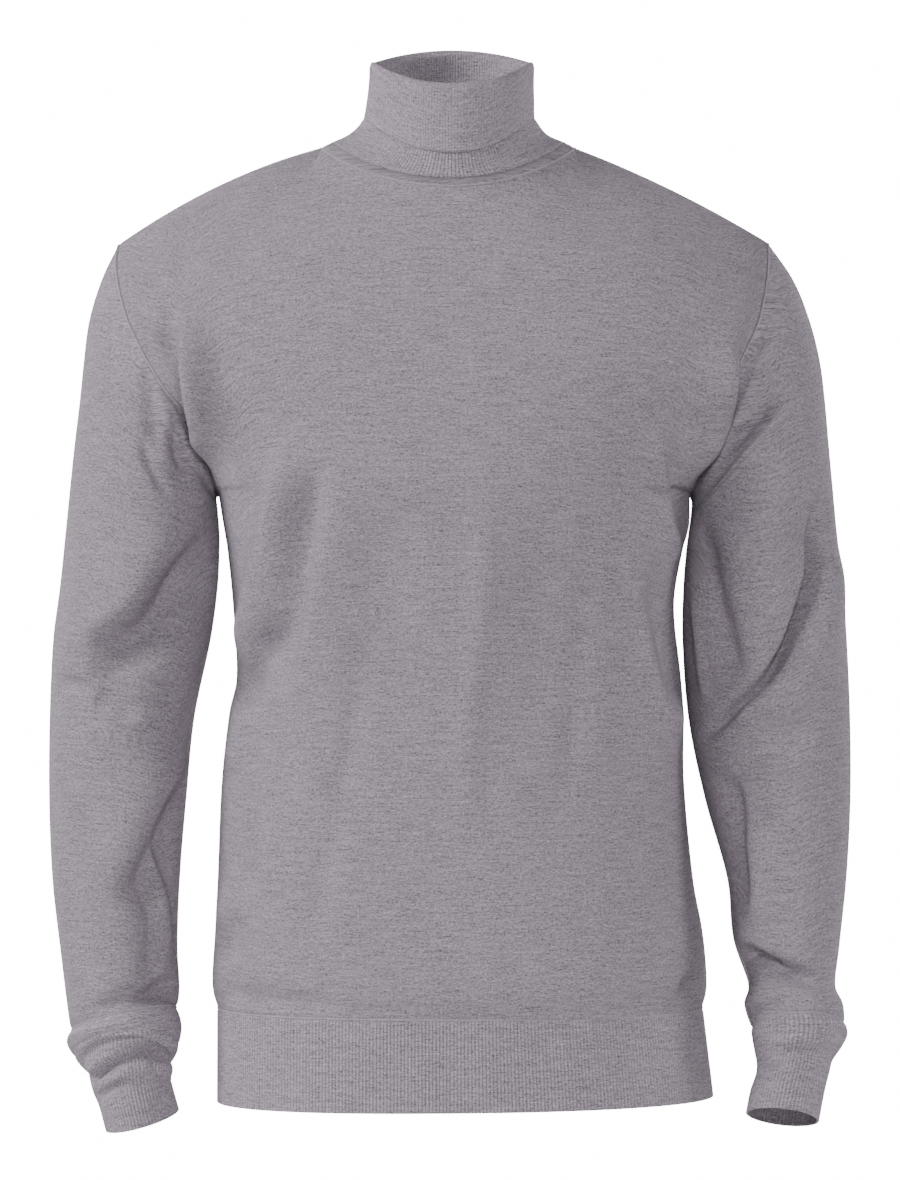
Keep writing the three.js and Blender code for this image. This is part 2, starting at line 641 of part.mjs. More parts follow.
/** Half of the hem band, front or back, as a ribbed wall that leans by a few millimetres. */
function hemWall(face) {
  const away = face === "front" ? -1 : 1;
  const lean = 4;
  const at = (ring, angle) => {
    const [c, s] = [Math.cos(angle), Math.sin(angle)];
    const square = 2.3;
    const reach = s < 0 ? -ring.right : ring.left;
    const low = ring === hemRings.at(-1) ? (lean * s) / 2 : 0;
    return vec(
      reach * Math.sign(s) * Math.abs(s) ** (2 / square),
      away * Math.abs(ring[face]) * Math.abs(c) ** (2 / square),
      ring.z + low,
    );
  };
  const quarter = Math.PI / 2;
  const middle = (angle) => at(hemRings[0], angle);
  const fine = steps(-quarter, quarter, 180);
  const length = fine.slice(1).reduce((sum, a, i) => sum + middle(a).distanceTo(middle(fine[i])), 0);
  const ribs = Math.round(length / ribPitch);
  const ribAngles = evenAngles(middle, -quarter, quarter, 2 * ribs, false);
  const plainAngles = evenAngles(middle, -quarter, quarter, plainPoints / 2, false);
  const outwards = (angle) => {
    const step = 0.004;
    const along = middle(Math.min(angle + step, quarter)).sub(middle(Math.max(angle - step, -quarter)));
    const n = vec(along.y, -along.x, 0).normalize().multiplyScalar(-away);
    return Math.abs(angle) === quarter ? vec(Math.sign(angle), 0, 0) : n;
  };
  const edged = (ring, angle) => {
    const p = at(ring, angle);
    if (Math.abs(angle) >= quarter - 1e-9) p.y = (away * seamGap) / 2;
    return p;
  };
  const outside = hemRings.map((ring) =>
    ribbedLine(ribAngles.map((a) => edged(ring, a)), ribAngles.map(outwards), 1));
  const inside = hemRings.map((ring) =>
    plainAngles.map((a) => edged(ring, a).addScaledVector(outwards(a), -ribWall)));
  return wall([...outside, ...inside.reverse()], false);
}

/** A ring round the neck, moved out or in and up by given amounts. */
function neckRing(row, angles, out, up) {
  return angles.map((angle) => {
    const p = neckPoint(row, angle);
    const turn = 0.01;
    const along = neckPoint(row, angle + turn).sub(neckPoint(row, angle - turn));
    const n = vec(-along.y, along.x, 0).normalize().negate();
    return p.addScaledVector(n, out).add(vec(0, 0, up));
  });
}

/** The narrow plain band that is linked between the neckline and the collar. */
function neckBandWall() {
  const quarter = Math.PI / 2;
  const half = steps(-quarter, quarter, neckColumns);
  const angles = [...half, ...half.slice(1, -1).map((angle) => angle + Math.PI)];
  const top = standOutside[0];
  const share = neckBandHeight / 10;
  const between = (t) =>
    Object.fromEntries(collarColumns.map((name) => [name, mix(neckline[name], top[name], t)]));
  const low = between(0.08);
  const high = between(0.8);
  const proud = neckBandProud * (0.5 + share);
  return wall([
    neckRing(low, angles, 0, 0.4),
    neckRing(between(0.45), angles, proud, 0.2),
    neckRing(high, angles, 0, 0),
    neckRing(high, angles, -ribWall, 0),
    neckRing(low, angles, -ribWall, 0.4),
  ], true);
}

/** The collar: a ribbed tube that stands up and is turned down over itself. */
function collarWall() {
  const free = turnedOutside[0];
  const fullTurn = 2 * Math.PI;
  const around = (angle) => neckPoint(free, angle);
  const fine = steps(0, fullTurn, 180);
  const length = fine.slice(1).reduce((sum, a, i) => sum + around(a).distanceTo(around(fine[i])), 0);
  const ribs = Math.round(length / ribPitch);
  const ribAngles = evenAngles(around, 0, fullTurn, 2 * ribs, true);
  const plain = evenAngles(around, 0, fullTurn, plainPoints, true);
  const ribbed = (row) =>
    neckRing(row, ribAngles, 0, 0).map((p, i) =>
      (i % 2 ? p.add(neckRing(row, [ribAngles[i]], ribHeight, 0)[0].sub(neckPoint(row, ribAngles[i]))) : p));
  const hidden = standOutside.length - 3;
  const crown = turnedOutside.at(-1);
  const topOfStand = standOutside.at(-1);
  return wall([
    ...standOutside.slice(0, hidden).map(ribbed),
    ...standOutside.slice(hidden).map((row) => neckRing(row, plain, 0, 0)),
    neckRing(crown, plain, -ribWall, 0),
    ...turnedOutside.slice(0, -1).reverse().map((row) => neckRing(row, plain, -ribWall, 0)),
    ...turnedOutside.slice(0, -1).map(ribbed),
    neckRing(crown, plain, 0, 0),
    neckRing(crown, plain, -ribWall, collarCrown * 0.8),
    neckRing(topOfStand, plain, collarGap - ribWall, collarCrown),
    neckRing(topOfStand, plain, -ribWall, collarCrown * 0.2),
    ...standOutside.slice(0, -1).reverse().map((row) => neckRing(row, plain, -ribWall, 0)),
  ], true);
}

const knit = { color: 0x9f989f, metalness: 0 };
const jersey = { ...knit, name: "jersey", roughness: 0.95 };
const rib = { ...knit, name: "rib", roughness: 0.9 };

const sweater = new THREE.Group();
const pieces = [
  ["front", panelWall("front"), jersey],
  ["back", panelWall("back"), jersey],
  ["sleeve_right", sleeveWall("right"), jersey],
  ["sleeve_left", sleeveWall("left"), jersey],
  ["hem_front", hemWall("front"), rib],
  ["hem_back", hemWall("back"), rib],
  ["cuff_right", cuffWall("right"), rib],
  ["cuff_left", cuffWall("left"), rib],
  ["neck_band", neckBandWall(), jersey],
  ["collar", collarWall(), rib],
];
for (const [name, geometry, finish] of pieces) {
  const mesh = new THREE.Mesh(geometry, new THREE.MeshStandardMaterial(finish));
  mesh.name = name;
  sweater.add(mesh);
}

export default sweater;
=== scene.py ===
"""A turtleneck sweater in fine knit, in its worn shape with nobody in it.

The tables are in millimetres and the scene is in metres. +Z is up and the front faces -Y.
Left and right are the wearer's, so left is +X. Each cloth piece replaces one solid of the frame.
"""

import logging
import math
from dataclasses import dataclass, field
from enum import Enum
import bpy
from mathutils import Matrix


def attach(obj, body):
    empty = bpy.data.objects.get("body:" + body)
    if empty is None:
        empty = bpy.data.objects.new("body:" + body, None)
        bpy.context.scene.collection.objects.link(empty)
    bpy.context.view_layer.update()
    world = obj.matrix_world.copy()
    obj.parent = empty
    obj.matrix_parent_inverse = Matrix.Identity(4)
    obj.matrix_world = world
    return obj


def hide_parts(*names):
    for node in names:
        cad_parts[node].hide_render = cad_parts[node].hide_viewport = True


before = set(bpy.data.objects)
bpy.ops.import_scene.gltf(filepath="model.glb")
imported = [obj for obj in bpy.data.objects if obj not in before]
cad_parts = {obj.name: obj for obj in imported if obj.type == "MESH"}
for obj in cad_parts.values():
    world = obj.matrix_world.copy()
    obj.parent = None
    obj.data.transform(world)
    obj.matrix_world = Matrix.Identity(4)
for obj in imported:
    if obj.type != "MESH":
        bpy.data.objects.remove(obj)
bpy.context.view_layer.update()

from types import SimpleNamespace
from typing import Sequence

import bpy
import numpy as np
from mathutils import Vector

log = logging.getLogger("sweater")

Array = np.ndarray
Row = SimpleNamespace
TURN = 2 * math.pi
MM = 0.001

WALL = 1.6
HEM_TOP = -617
HEM_DEPTH = 65
HEM_RIGHT = (-168.2, -168.4)  # the hem band's reach at its seam and at its lower edge
HEM_LEFT = (179.8, 187.4)
CUFF_LENGTH = 90
CUFF_SEAM_WIDTH = 2.4
SEAM_DEPTH = 0.4
SEAM_WIDTH = 2.2
SECOND_LINE_AT = 6.5  # a faint second line runs beside a seam, so far from it
SECOND_LINE_WIDTH = 1.3
SECOND_LINE_SHARE = 0.35
NECK_SHARE = 0.42  # the share of a panel's half width that ends at the neckline
ARMPIT_AT = 0.62  # how far up a panel the armpit lies, from 0 at the hem to 1 at the top
BODY_FOLD_DEPTH = 2.3  # the folds of the cloth are this much deeper than those of the solids
SLEEVE_FOLD_DEPTH = 1.7
LIMB_SPREAD = 0.31  # above 0, the points of a sleeve's ring lie closer at its outer side
RIB_PROFILE = np.array([0.0, 0.82, 1.0, 0.82])  # heights across a rib, from 0 in its groove
UV_MAP = "Knit"  # along the courses and up the wales, in metres
# The ribbed attribute is read only by the knit material, where it scales the painted shade in rib grooves.
RIBBED = "ribbed"  # how strongly a point is ribbed, from 0 to 1


class Labelled(Enum):
    """An option whose name is used in the names of pieces."""

    @property
    def label(self) -> str:
        """The name in small letters."""
        return self.name.lower()


class Face(Labelled):
    """A side of the body, with the sign of the way it faces along Y."""

    FRONT = -1
    BACK = 1


class Side(Labelled):
    """An arm of the wearer, with the sign of its side along X."""

    RIGHT = -1
    LEFT = 1

    @property
    def column(self) -> int:
        """The column of a panel's grid at this side."""
        return 0 if self is Side.RIGHT else -1


HEM_REACH = {Face.FRONT: (113.6, 116), Face.BACK: (108.6, 110)}  # like HEM_RIGHT, front or back


def table(columns: str, rows: Sequence[Sequence]) -> list[Row]:
    """Rows of numbers as objects with named columns."""
    return [Row(**dict(zip(columns.split(), row))) for row in rows]


# The body below the armpit, one row for each level, shared by front and back.
BODY_RINGS = table("at z right left front back square", [
    [0.0, HEM_TOP, -169.5, 181.0, -114, 109, 2.3],
    [0.028, -600, -172.3, 183.2, -118.5, 113, 2.3],
    [0.085, -565, -170.5, 180.5, -119.5, 113, 2.3],
    [0.15, -526, -168.5, 173.5, -119, 110, 2.3],
    [0.265, -455, -165.5, 166.8, -117, 103, 2.3],
    [0.345, -405, -160.0, 166.4, -117, 100, 2.3],
    [0.39, -380, -154.8, 164.6, -118, 100, 2.3],
    [0.475, -328, -157.4, 159.6, -121, 103, 2.35],
    [0.55, -287, -161.5, 166.0, -123.5, 107, 2.4],
    [0.5675, -277.5, -163.1, 169.0, -123.9, 107.8, 2.4],
    [0.585, -268, -164.7, 170.8, -124.3, 108.5, 2.4],
    [ARMPIT_AT, -249, -167.8, 171.0, -125, 110, 2.4],
])

# Above the armpit a row runs from armhole to armhole. Turn is 1 where its ends face the side.
SECTION = "at centre_y centre_z right_x right_y right_z left_x left_y left_z square turn"
UPPER = {
    Face.FRONT: table(SECTION, [
        [0.665, -125, -234, -170, -19, -241, 173.5, -19, -242, 2.4, 0.9],
        [0.72, -123, -200, -179, -41, -211, 184, -40, -210, 2.4, 0.7],
        [0.785, -117, -158, -206, -60, -172, 204, -61, -169, 2.3, 0.45],
        [0.845, -104, -110, -230, -53, -127, 218, -55, -127, 2.2, 0.25],
        [0.9, -90, -66, -240, -27, -91, 226, -29, -92, 2.1, 0.1],
    ]),
    Face.BACK: table(SECTION, [
        [0.665, 111, -230, -170, 21, -241, 173.5, 21, -242, 2.4, 0.9],
        [0.72, 113, -192, -181, 46, -211, 185, 45, -210, 2.4, 0.7],
        [0.785, 113, -144, -207, 67, -171, 205, 67, -169, 2.3, 0.5],
        [0.845, 106, -88, -231, 66, -125, 219, 66, -126, 2.2, 0.3],
        [0.9, 90, -34, -240, 41, -88, 227, 41, -90, 2.1, 0.15],
    ]),
}

# The points where seams meet at the neck and at the tips of the shoulders.
NECK = {Side.RIGHT: (-94, 4, 1), Side.LEFT: (88, 4, 1)}
TIP = {Side.RIGHT: (-240.5, 8, -68), Side.LEFT: (228, 6, -67)}
ARCH = {Side.RIGHT: 8, Side.LEFT: 4}
NECKLINE = Row(right=94, left=88, front_y=-76, front_z=-32, back_y=62, back_z=15, side_z=1)

# Sleeve sections: the outer and inner points as seen from the front, the middle and half of the
# depth, and how much the front point is lifted. The first row leaves the armhole.
LIMB = "at out_x out_z in_x in_z mid_y depth lift"
SLEEVE_ROWS = {
    Side.RIGHT: table(LIMB, [
        [0.05, -252.7, -94, -170.0, -251, 6, 66, 0],
        [0.1, -261.4, -123, -169.5, -255, 5, 65, 0],
        [0.15, -265.2, -152, -169.0, -259, 4, 64, 0],
        [0.21, -268.3, -182, -168.6, -264, 4, 63, 0],
        [0.28, -272.4, -217, -168.0, -271, 3, 62, 0],
        [0.36, -277.0, -262, -167.6, -284, 3, 62, 0],
        [0.45, -282.2, -313, -169.0, -315, 3, 61, 0],
        [0.53, -287.3, -353, -174.2, -353, 4, 60, 0],
        [0.62, -290.0, -408, -185.8, -408, 6, 57, 1],
        [0.72, -290.2, -468, -191.5, -466, 3, 53, 2],
        [0.82, -287.3, -526, -195.8, -522, -3, 49, 3],
        [0.91, -281.0, -578, -197.4, -572, -8, 45, 5],
        [0.965, -276.6, -612, -195.8, -602, -11, 43, 6],
        [1, -273.6, -633, -197.0, -616, -13, 39, 8],
    ]),
    Side.LEFT: table(LIMB, [
        [0.05, 246.2, -94, 173.0, -254, 6, 66, 0],
        [0.1, 257.8, -123, 172.8, -258, 5, 65, 0],
        [0.15, 265.0, -152, 172.4, -262, 4, 64, 0],
        [0.21, 268.8, -182, 171.8, -268, 4, 63, 0],
        [0.28, 271.8, -217, 170.6, -276, 3, 62, 0],
        [0.36, 276.0, -262, 168.8, -290, 3, 62, 0],
        [0.45, 280.8, -313, 166.8, -318, 4, 62, 1],
        [0.53, 284.6, -353, 166.5, -355, 6, 61, 2],
        [0.62, 287.0, -408, 170.8, -410, 6, 58, 4],
        [0.72, 286.8, -466, 182.0, -466, -1, 54, 7],
        [0.82, 283.0, -522, 197.6, -524, -14, 49, 10],
        [0.905, 276.6, -574, 201.6, -568, -27, 44, 11],
        [0.94, 273.4, -600, 211.5, -598, -33, 41, 11],
        [0.97, 278.6, -613, 208.4, -612, -37, 40, 12],
        [1, 279.6, -627, 213.2, -628, -41, 37, 13],
    ]),
}

# Cuff sections in the same columns, with at as the share of the cuff's height.
CUFF_ROWS = {
    Side.RIGHT: table(LIMB, [
        [0, -273.6, -633, -197.0, -616, -13, 39, 8],
        [0.12, -276.2, -642.5, -193.8, -630, -14, 40, 13],
        [0.28, -268.5, -653, -197.5, -645.5, -15, 36, 18],
        [0.4, -261.2, -659, -203.0, -652, -15, 31, 20],
        [0.52, -258.8, -669, -200.8, -660, -15, 32.5, 9],
        [0.64, -256.2, -678, -202.0, -668, -15, 29.5, 5],
        [0.76, -252.6, -686, -199.6, -678, -15, 30.5, 0],
        [1, -247.6, -704, -196.4, -690, -14, 31, -3],
    ]),
    Side.LEFT: table(LIMB, [
        [0, 279.6, -627, 213.2, -628, -41, 37, 13],
        [0.14, 280.6, -634, 214.6, -637, -42, 37, 12],
        [0.28, 276.4, -642, 216.2, -646, -43, 35, 11],
        [0.42, 270.2, -651, 217.4, -653, -44, 32.5, 10],
        [0.56, 267.6, -660, 216.6, -661, -46, 31.5, 10],
        [0.76, 264.0, -673, 212.6, -672, -49, 31, 8],
        [1, 259.6, -694.0, 209.0, -687.5, -54, 30.5, 9.0],
    ]),
}

# Collar rings: half widths to the wearer's right and left, the front and back points, and the
# sides' height.
COLLAR = "right left front_y front_z back_y back_z side_z"
STAND = table(COLLAR, [
    [86.5, 81.0, -74.5, -26.5, 61, 19.5, 5.0],
    [74.5, 68.5, -72.0, -19, 59.5, 25, 10.5],
    [66.0, 62.0, -70.5, -11, 58, 31, 18],
    [60.8, 56.6, -68.5, 0, 56.5, 41, 28],
    [57.4, 56.0, -64.5, 22, 53.5, 58, 45],
    [56.0, 56.0, -62.0, 38, 51.5, 73, 59],
])
TURNED = table(COLLAR, [
    [63.6, 59.4, -73.5, -8.5, 61, 34, 22],
    [61.0, 59.0, -70.0, 8, 58, 48, 36],
    [59.6, 58.8, -67.5, 24, 56, 62, 49],
    [59.2, 59.2, -65.8, 38, 54.6, 74, 60],
])

# Folds, as seen from the front or the back: a line through three points, how far it is raised or
# sunk, and how wide it is on its left and right sides, seen along the line.
FOLD = "face x0 z0 x1 z1 x2 z2 lift wide_left wide_right"
F, B = Face.FRONT, Face.BACK
BODY_FOLDS = table(FOLD, [
    [F, -115, -203, -133, -300, -155, -385, 5.5, 24, 8],
    [F, -92, -214, -107, -310, -124, -400, -5.5, 9, 18],
    [F, -84, -230, -97, -320, -114, -420, 2.5, 26, 8],
    [F, -40, -230, -46, -330, -30, -440, -2.2, 26, 26],
    [F, 68, -240, 66, -340, 60, -450, -2.4, 26, 26],
    [F, 140, -190, 148, -250, 158, -306, 4.0, 14, 7],
    [F, 152, -205, 160, -250, 167, -290, -4.2, 8, 11],
    [F, 121, -262, 137, -362, 159, -440, 5.0, 20, 8],
    [F, 134, -290, 149, -356, 162, -410, -5.0, 9, 13],
    [F, -186, -120, -181, -180, -169, -238, 5.0, 14, 7],
    [F, 199, -130, 189, -190, 174, -246, 5.0, 7, 14],
    [F, -172, -604, -130, -608, -70, -610, -3.0, 10, 9],
    [F, 182, -604, 140, -608, 90, -610, -3.0, 10, 9],
    [F, 190, -588, 176, -594, 160, -598, -2.6, 7, 7],
    [B, -170, -250, -120, -330, -70, -380, -5, 22, 18],
    [B, -150, -210, -100, -290, -50, -330, 4, 18, 20],
    [B, 172, -250, 124, -320, 76, -372, -5, 20, 20],
    [B, 150, -205, 98, -280, 52, -322, 4, 18, 20],
    [B, -150, -480, -60, -500, 20, -496, -4, 18, 22],
    [B, 160, -470, 80, -462, 0, -470, -3.5, 18, 20],
    [B, -60, -400, 10, -408, 90, -396, -3, 22, 20],
    [B, -30, -60, -40, -160, -36, -260, -2, 22, 22],
    [B, 36, -70, 44, -170, 40, -270, -2, 24, 22],
])
SLEEVE_FOLDS = {
    Side.RIGHT: table(FOLD, [
        [F, -170, -276, -214, -338, -262, -364, -7, 22, 20],
        [F, -196, -296, -236, -346, -286, -384, 3.5, 16, 22],
        [F, -262, -398, -240, -398, -222, -414, -3, 9, 10],
        [F, -188, -420, -216, -478, -242, -532, 5, 9, 22],
        [F, -180, -440, -208, -500, -234, -552, -6, 14, 12],
        [F, -200, -596, -232, -610, -262, -622, -3.5, 8, 9],
        [B, -176, -290, -220, -340, -270, -360, -5, 20, 18],
        [B, -280, -420, -240, -440, -200, -430, -5, 18, 18],
        [B, -196, -470, -224, -520, -260, -556, -4, 14, 16],
        [B, -200, -596, -236, -606, -268, -616, -3, 8, 9],
    ]),
    Side.LEFT: table(FOLD, [
        [F, 262, -240, 250, -330, 206, -408, -8, 13, 20],
        [F, 276, -262, 264, -346, 226, -418, 4, 14, 22],
        [F, 192, -418, 226, -416, 262, -426, -3.5, 13, 14],
        [F, 206, -470, 216, -520, 222, -560, 3.5, 14, 12],
        [F, 204, -570, 224, -580, 262, -594, -5.5, 7, 8],
        [B, 180, -292, 224, -340, 272, -356, -5, 18, 20],
        [B, 274, -424, 236, -440, 196, -430, -6, 18, 18],
        [B, 206, -480, 232, -520, 264, -552, -4, 16, 14],
        [B, 214, -596, 240, -602, 268, -606, -3.5, 7, 8],
    ]),
}


# Finer creases, as lines of x, z pairs. Going down, the left side is the +X one.
CREASE = "face lift wide_left wide_right ends line"
BODY_CREASES = table(CREASE, [
    [F, 2.6, 7, 9, 0.3, (-141, -392, -149, -420, -157, -452)],
    [F, -4.5, 8, 10, 0.3, (-118, -330, -132, -362, -146, -386, -154, -404)],
    [F, 2.0, 9, 12, 0.35, (-150, -525, -160, -545, -168, -562)],
    [F, -2.5, 14, 9, 0.35, (-146, -545, -156, -562, -168, -590)],
    [F, -1.2, 4, 5, 0.3, (182, -590, 176, -596, 164, -599)],
    [F, 2.6, 12, 5, 0.35, (-191.5, -104, -186.5, -139, -180.7, -183, -175, -213, -168.5, -243)],
    [F, -3.2, 7, 8, 0.3, (-205, -108, -199, -140, -191, -172, -181, -203, -173, -228)],
    [F, 2.2, 5, 12, 0.35, (207, -130, 198, -169, 193, -190, 181.4, -217, 176.4, -234, 173, -264)],
    [F, -2.8, 8, 7, 0.35, (217, -118, 211, -146, 204, -168, 192, -196, 182, -218)],
    [F, -1.1, 6, 6, 0.3, (-140, -612, -100, -613.5, -60, -614, -10, -614)],
    [F, -1.1, 6, 6, 0.3, (170, -611, 130, -613, 90, -614, 40, -614)],
    [F, -1.5, 10, 8, 0.3, (100, -250, 92, -330, 84, -420, 70, -500)],
    [F, -1.5, 10, 10, 0.3, (-62, -330, -70, -420, -90, -520, -104, -580)],
    [F, 1.6, 12, 12, 0.3, (20, -230, 22, -320, 10, -420, 14, -520)],
])
SLEEVE_CREASES = {
    Side.RIGHT: table(CREASE, [
        [F, -2.2, 5, 6, 0.35, (-186.5, -165, -189, -195, -191, -228, -186, -250)],
        [F, -1.8, 6, 7, 0.35, (-215, -150, -212, -190, -210, -232)],
        [F, 4.5, 10, 26, 0.3, (
            -178, -256, -190, -281, -204, -296, -219, -315, -232, -334, -246, -349, -258, -359,
            -274, -368)],
        [F, -6.0, 24, 11, 0.25, (
            -170, -250, -177, -285, -190, -310, -204, -328, -220, -344, -240, -354, -256, -364,
            -270, -371)],
        [F, -2.2, 5, 4, 0.3, (-282, -384, -268, -384, -252, -389)],
        [F, -3.0, 5, 5, 0.3, (-196, -198, -194, -218, -185, -233)],
        [F, -1.8, 3, 3, 0.3, (-220, -205, -216, -225, -208, -240, -200, -254)],
        [F, 2.4, 5, 5, 0.3, (-212, -480, -210, -500, -207, -520, -203, -545, -202, -565, -204, -598)],
        [F, -2.6, 5, 7, 0.35, (-221, -505, -216, -525, -213, -545, -212, -570, -214, -590, -219, -610)],
        [F, -3.6, 6, 5, 0.3, (-205, -476, -202, -505, -198, -540, -196, -590)],
        [F, -6.5, 8, 9, 0.25, (-226, -620, -214, -613, -205, -603, -201, -588)],
    ]),
    Side.LEFT: table(CREASE, [
        [F, -4.5, 6, 6, 0.35, (186, -222, 198, -213, 208, -205, 218, -195, 228, -182, 242, -171)],
        [F, 2.6, 7, 7, 0.35, (192, -234, 210, -216, 222, -201, 242, -184)],
        [F, -1.8, 4, 4, 0.35, (224, -213, 230, -206, 240, -194)],
        [F, 4.0, 3, 16, 0.25, (
            257, -262, 257, -290, 252, -310, 246, -328, 238, -346, 229, -362, 216, -378, 204, -388)],
        [F, -7.0, 4, 4, 0.12, (
            263, -240, 264.5, -270, 260.5, -300, 254.5, -320, 247.5, -340, 239, -360, 228, -375, 217, -387,
            205, -396, 192, -409, 178, -426)],
        [F, 2.0, 10, 3, 0.25, (270, -262, 269, -290, 263, -318, 255, -343, 245, -366, 232, -384, 218, -398)],
        [F, -6.0, 10, 6, 0.25, (176, -250, 178, -290, 184, -320, 191, -345, 198, -368, 208, -388)],
        [F, 2.4, 3, 3, 0.25, (172, -312, 176, -345, 179, -375, 182, -400)],
        [F, -5.5, 7, 7, 0.25, (194, -442, 200, -470, 205, -510, 207, -560)],
        [F, -3.0, 9, 6, 0.35, (196, -448, 216, -446, 238, -450)],
        [F, -3.4, 6, 5, 0.12, (200, -616, 208, -616.5, 218, -616, 227, -613.5, 234, -608)],
        [F, 3.0, 12, 4, 0.3, (196, -557, 208, -567, 219, -573, 230, -577, 244, -580, 256, -584, 272, -591)],
        [F, -4.6, 4, 7, 0.3, (196, -563, 208, -573, 219, -579, 230, -583, 244, -586, 256, -590, 272, -597)],
        [F, -4.5, 6, 8, 0.3, (204, -576, 207, -588, 212, -600)],
    ]),
}
CUFF_CREASES = {
    Side.RIGHT: table(CREASE, [
        [F, 3.6, 9, 2.2, 0.15, (
            -262, -663, -257, -659, -247.7, -650, -237.6, -644, -224, -638, -214.6, -636,
            -206, -641, -200, -650)],
        [F, -7.0, 2.2, 6.5, 0.15, (
            -259, -669, -254, -664, -245, -656, -236, -650, -224, -644, -214.6, -642,
            -207, -647, -202, -655)],
        [F, 2.6, 4, 3, 0.25, (-256, -673, -247, -667, -236, -661, -224, -658.5)],
        [F, -3.2, 2.6, 4, 0.25, (-257, -680, -247.7, -675.6, -238.3, -669, -226, -665)],
        [F, -1.4, 1.6, 1.6, 0.15, (-221, -641, -216, -648, -213, -656, -208, -663, -204, -668)],
        [F, -0.7, 1.4, 1.4, 0.2, (-244, -694.5, -234, -692.5, -221.8, -690, -206, -688)],
        [B, -4, 4, 6, 0.2, (-262, -664, -236, -655, -206, -650)],
    ]),
    Side.LEFT: table(CREASE, [
        [F, -2.2, 2.6, 3, 0.3, (233, -639, 239, -641.5, 248, -644, 258, -645)],
        [F, -2.4, 2.6, 3, 0.3, (214, -649, 219, -650.5, 228, -652, 237, -653.3)],
        [F, 2.4, 5, 4, 0.25, (214, -640, 232, -634, 252, -633, 276, -637)],
        [B, -3, 4, 6, 0.2, (216, -650, 240, -646, 268, -650)],
    ]),
}


def mix(a, b, t):
    """The value t of the way from a to b."""
    return a + (b - a) * t


def soft(x, low: float, high: float):
    """A smooth step from 0 at low to 1 at high."""
    t = np.clip((x - low) / (high - low), 0, 1)
    return t * t * (3 - 2 * t)


def bell(x, width: float):
    """A smooth bump that is 1 at 0 and fades out past a width."""
    return np.exp(-((x / width) ** 2))


def unit(v: Array) -> Array:
    """Vectors with their length made 1."""
    return v / np.maximum(np.linalg.norm(v, axis=-1, keepdims=True), 1e-9)


def through(knots: Sequence[float], points: Array, at: Array, end_slope: Array | None = None) -> Array:
    """A smooth curve through the points at the knots, one curve for each column.

    Args:
        knots: where each point lies along the curve, rising.
        points: the points, as knots x columns x 3.
        at: where to read the curves, one value for each row of the result.
        end_slope: the direction at the last knot, as columns x 3.

    Returns:
        The points, as rows x columns x 3.
    """
    knots = np.asarray(knots, float)
    last = len(knots) - 1
    before = np.maximum(np.arange(last + 1) - 1, 0)
    after = np.minimum(np.arange(last + 1) + 1, last)
    slopes = (points[after] - points[before]) / (knots[after] - knots[before])[:, None, None]
    if end_slope is not None:
        slopes[last] = end_slope
    k = np.searchsorted(knots[1:-1], at, side="left")
    span = (knots[k + 1] - knots[k])[:, None, None]
    t = ((at - knots[k]) / (knots[k + 1] - knots[k]))[:, None, None]
    t2, t3 = t * t, t * t * t
    return (
        points[k] * (2 * t3 - 3 * t2 + 1)
        + slopes[k] * (t3 - 2 * t2 + t) * span
        + points[k + 1] * (3 * t2 - 2 * t3)
        + slopes[k + 1] * (t3 - t2) * span
    )


def section_points(s: Row, u: Array) -> Array:
    """The points of a body section at each u, from -1 at its right end to 1 at its left end."""
    turned = math.radians(mix(30, 90, s.turn))
    share = np.sin(np.abs(u) * turned) / math.sin(turned)
    swell = np.maximum(0, 1 - share**s.square) ** mix(1, 1 / s.square, s.turn)
    left = u >= 0
    end_x, end_y, end_z = (
        np.where(left, getattr(s, f"left_{axis}"), getattr(s, f"right_{axis}")) for axis in "xyz"
    )
    centre = (s.right_x + s.left_x) / 2
    return np.stack([
        mix(centre, end_x, share),
        mix(end_y, s.centre_y, swell),
        mix(s.centre_z, end_z, share * share),
    ], -1)


def half_ring(ring: Row, face: Face) -> Row:
    """A body ring's row as a section of the front or the back."""
    return Row(
        at=ring.at, centre_y=ring.front if face is F else ring.back, centre_z=ring.z,
        right_x=ring.right, right_y=0, right_z=ring.z,
        left_x=ring.left, left_y=0, left_z=ring.z, square=ring.square, turn=1,
    )


def neck_points(row: Row, angle: Array) -> Array:
    """Points of a ring round the neck. The angle is 0 at the front and grows to the left."""
    width = np.where(np.sin(angle) < 0, row.right, row.left)
    facing = np.cos(angle)
    end_y = np.where(facing > 0, row.front_y, row.back_y)
    end_z = np.where(facing > 0, row.front_z, row.back_z)
    side_y = (row.front_y + row.back_y) / 2 + 6
    reach = np.abs(facing)
    return np.stack([
        width * np.sin(angle), mix(side_y, end_y, reach), mix(row.side_z, end_z, reach**1.6),
    ], -1)


def neck_outward(row: Row, angle: Array) -> Array:
    """The level directions that point out of a ring round the neck."""
    along = neck_points(row, angle + 0.01) - neck_points(row, angle - 0.01)
    return unit(np.stack([along[:, 1], -along[:, 0], 0 * angle], -1))


def top_edge(face: Face, u: Array) -> Array:
    """The top edge of a panel: shoulder seam, neckline, shoulder seam."""
    inner = np.clip(u, -NECK_SHARE, NECK_SHARE)
    quarter = inner / NECK_SHARE * (math.pi / 2)
    points = neck_points(NECKLINE, quarter if face is F else math.pi - quarter)
    share = np.clip((np.abs(u) - NECK_SHARE) / (1 - NECK_SHARE), 0, 1)[:, None]
    for side in Side:
        there = np.sign(u) == side.value
        points[there] = mix(points[there], np.array(TIP[side], float), share[there])
        points[there, 2] += ARCH[side] * 4 * (share * (1 - share))[there, 0]
    return points


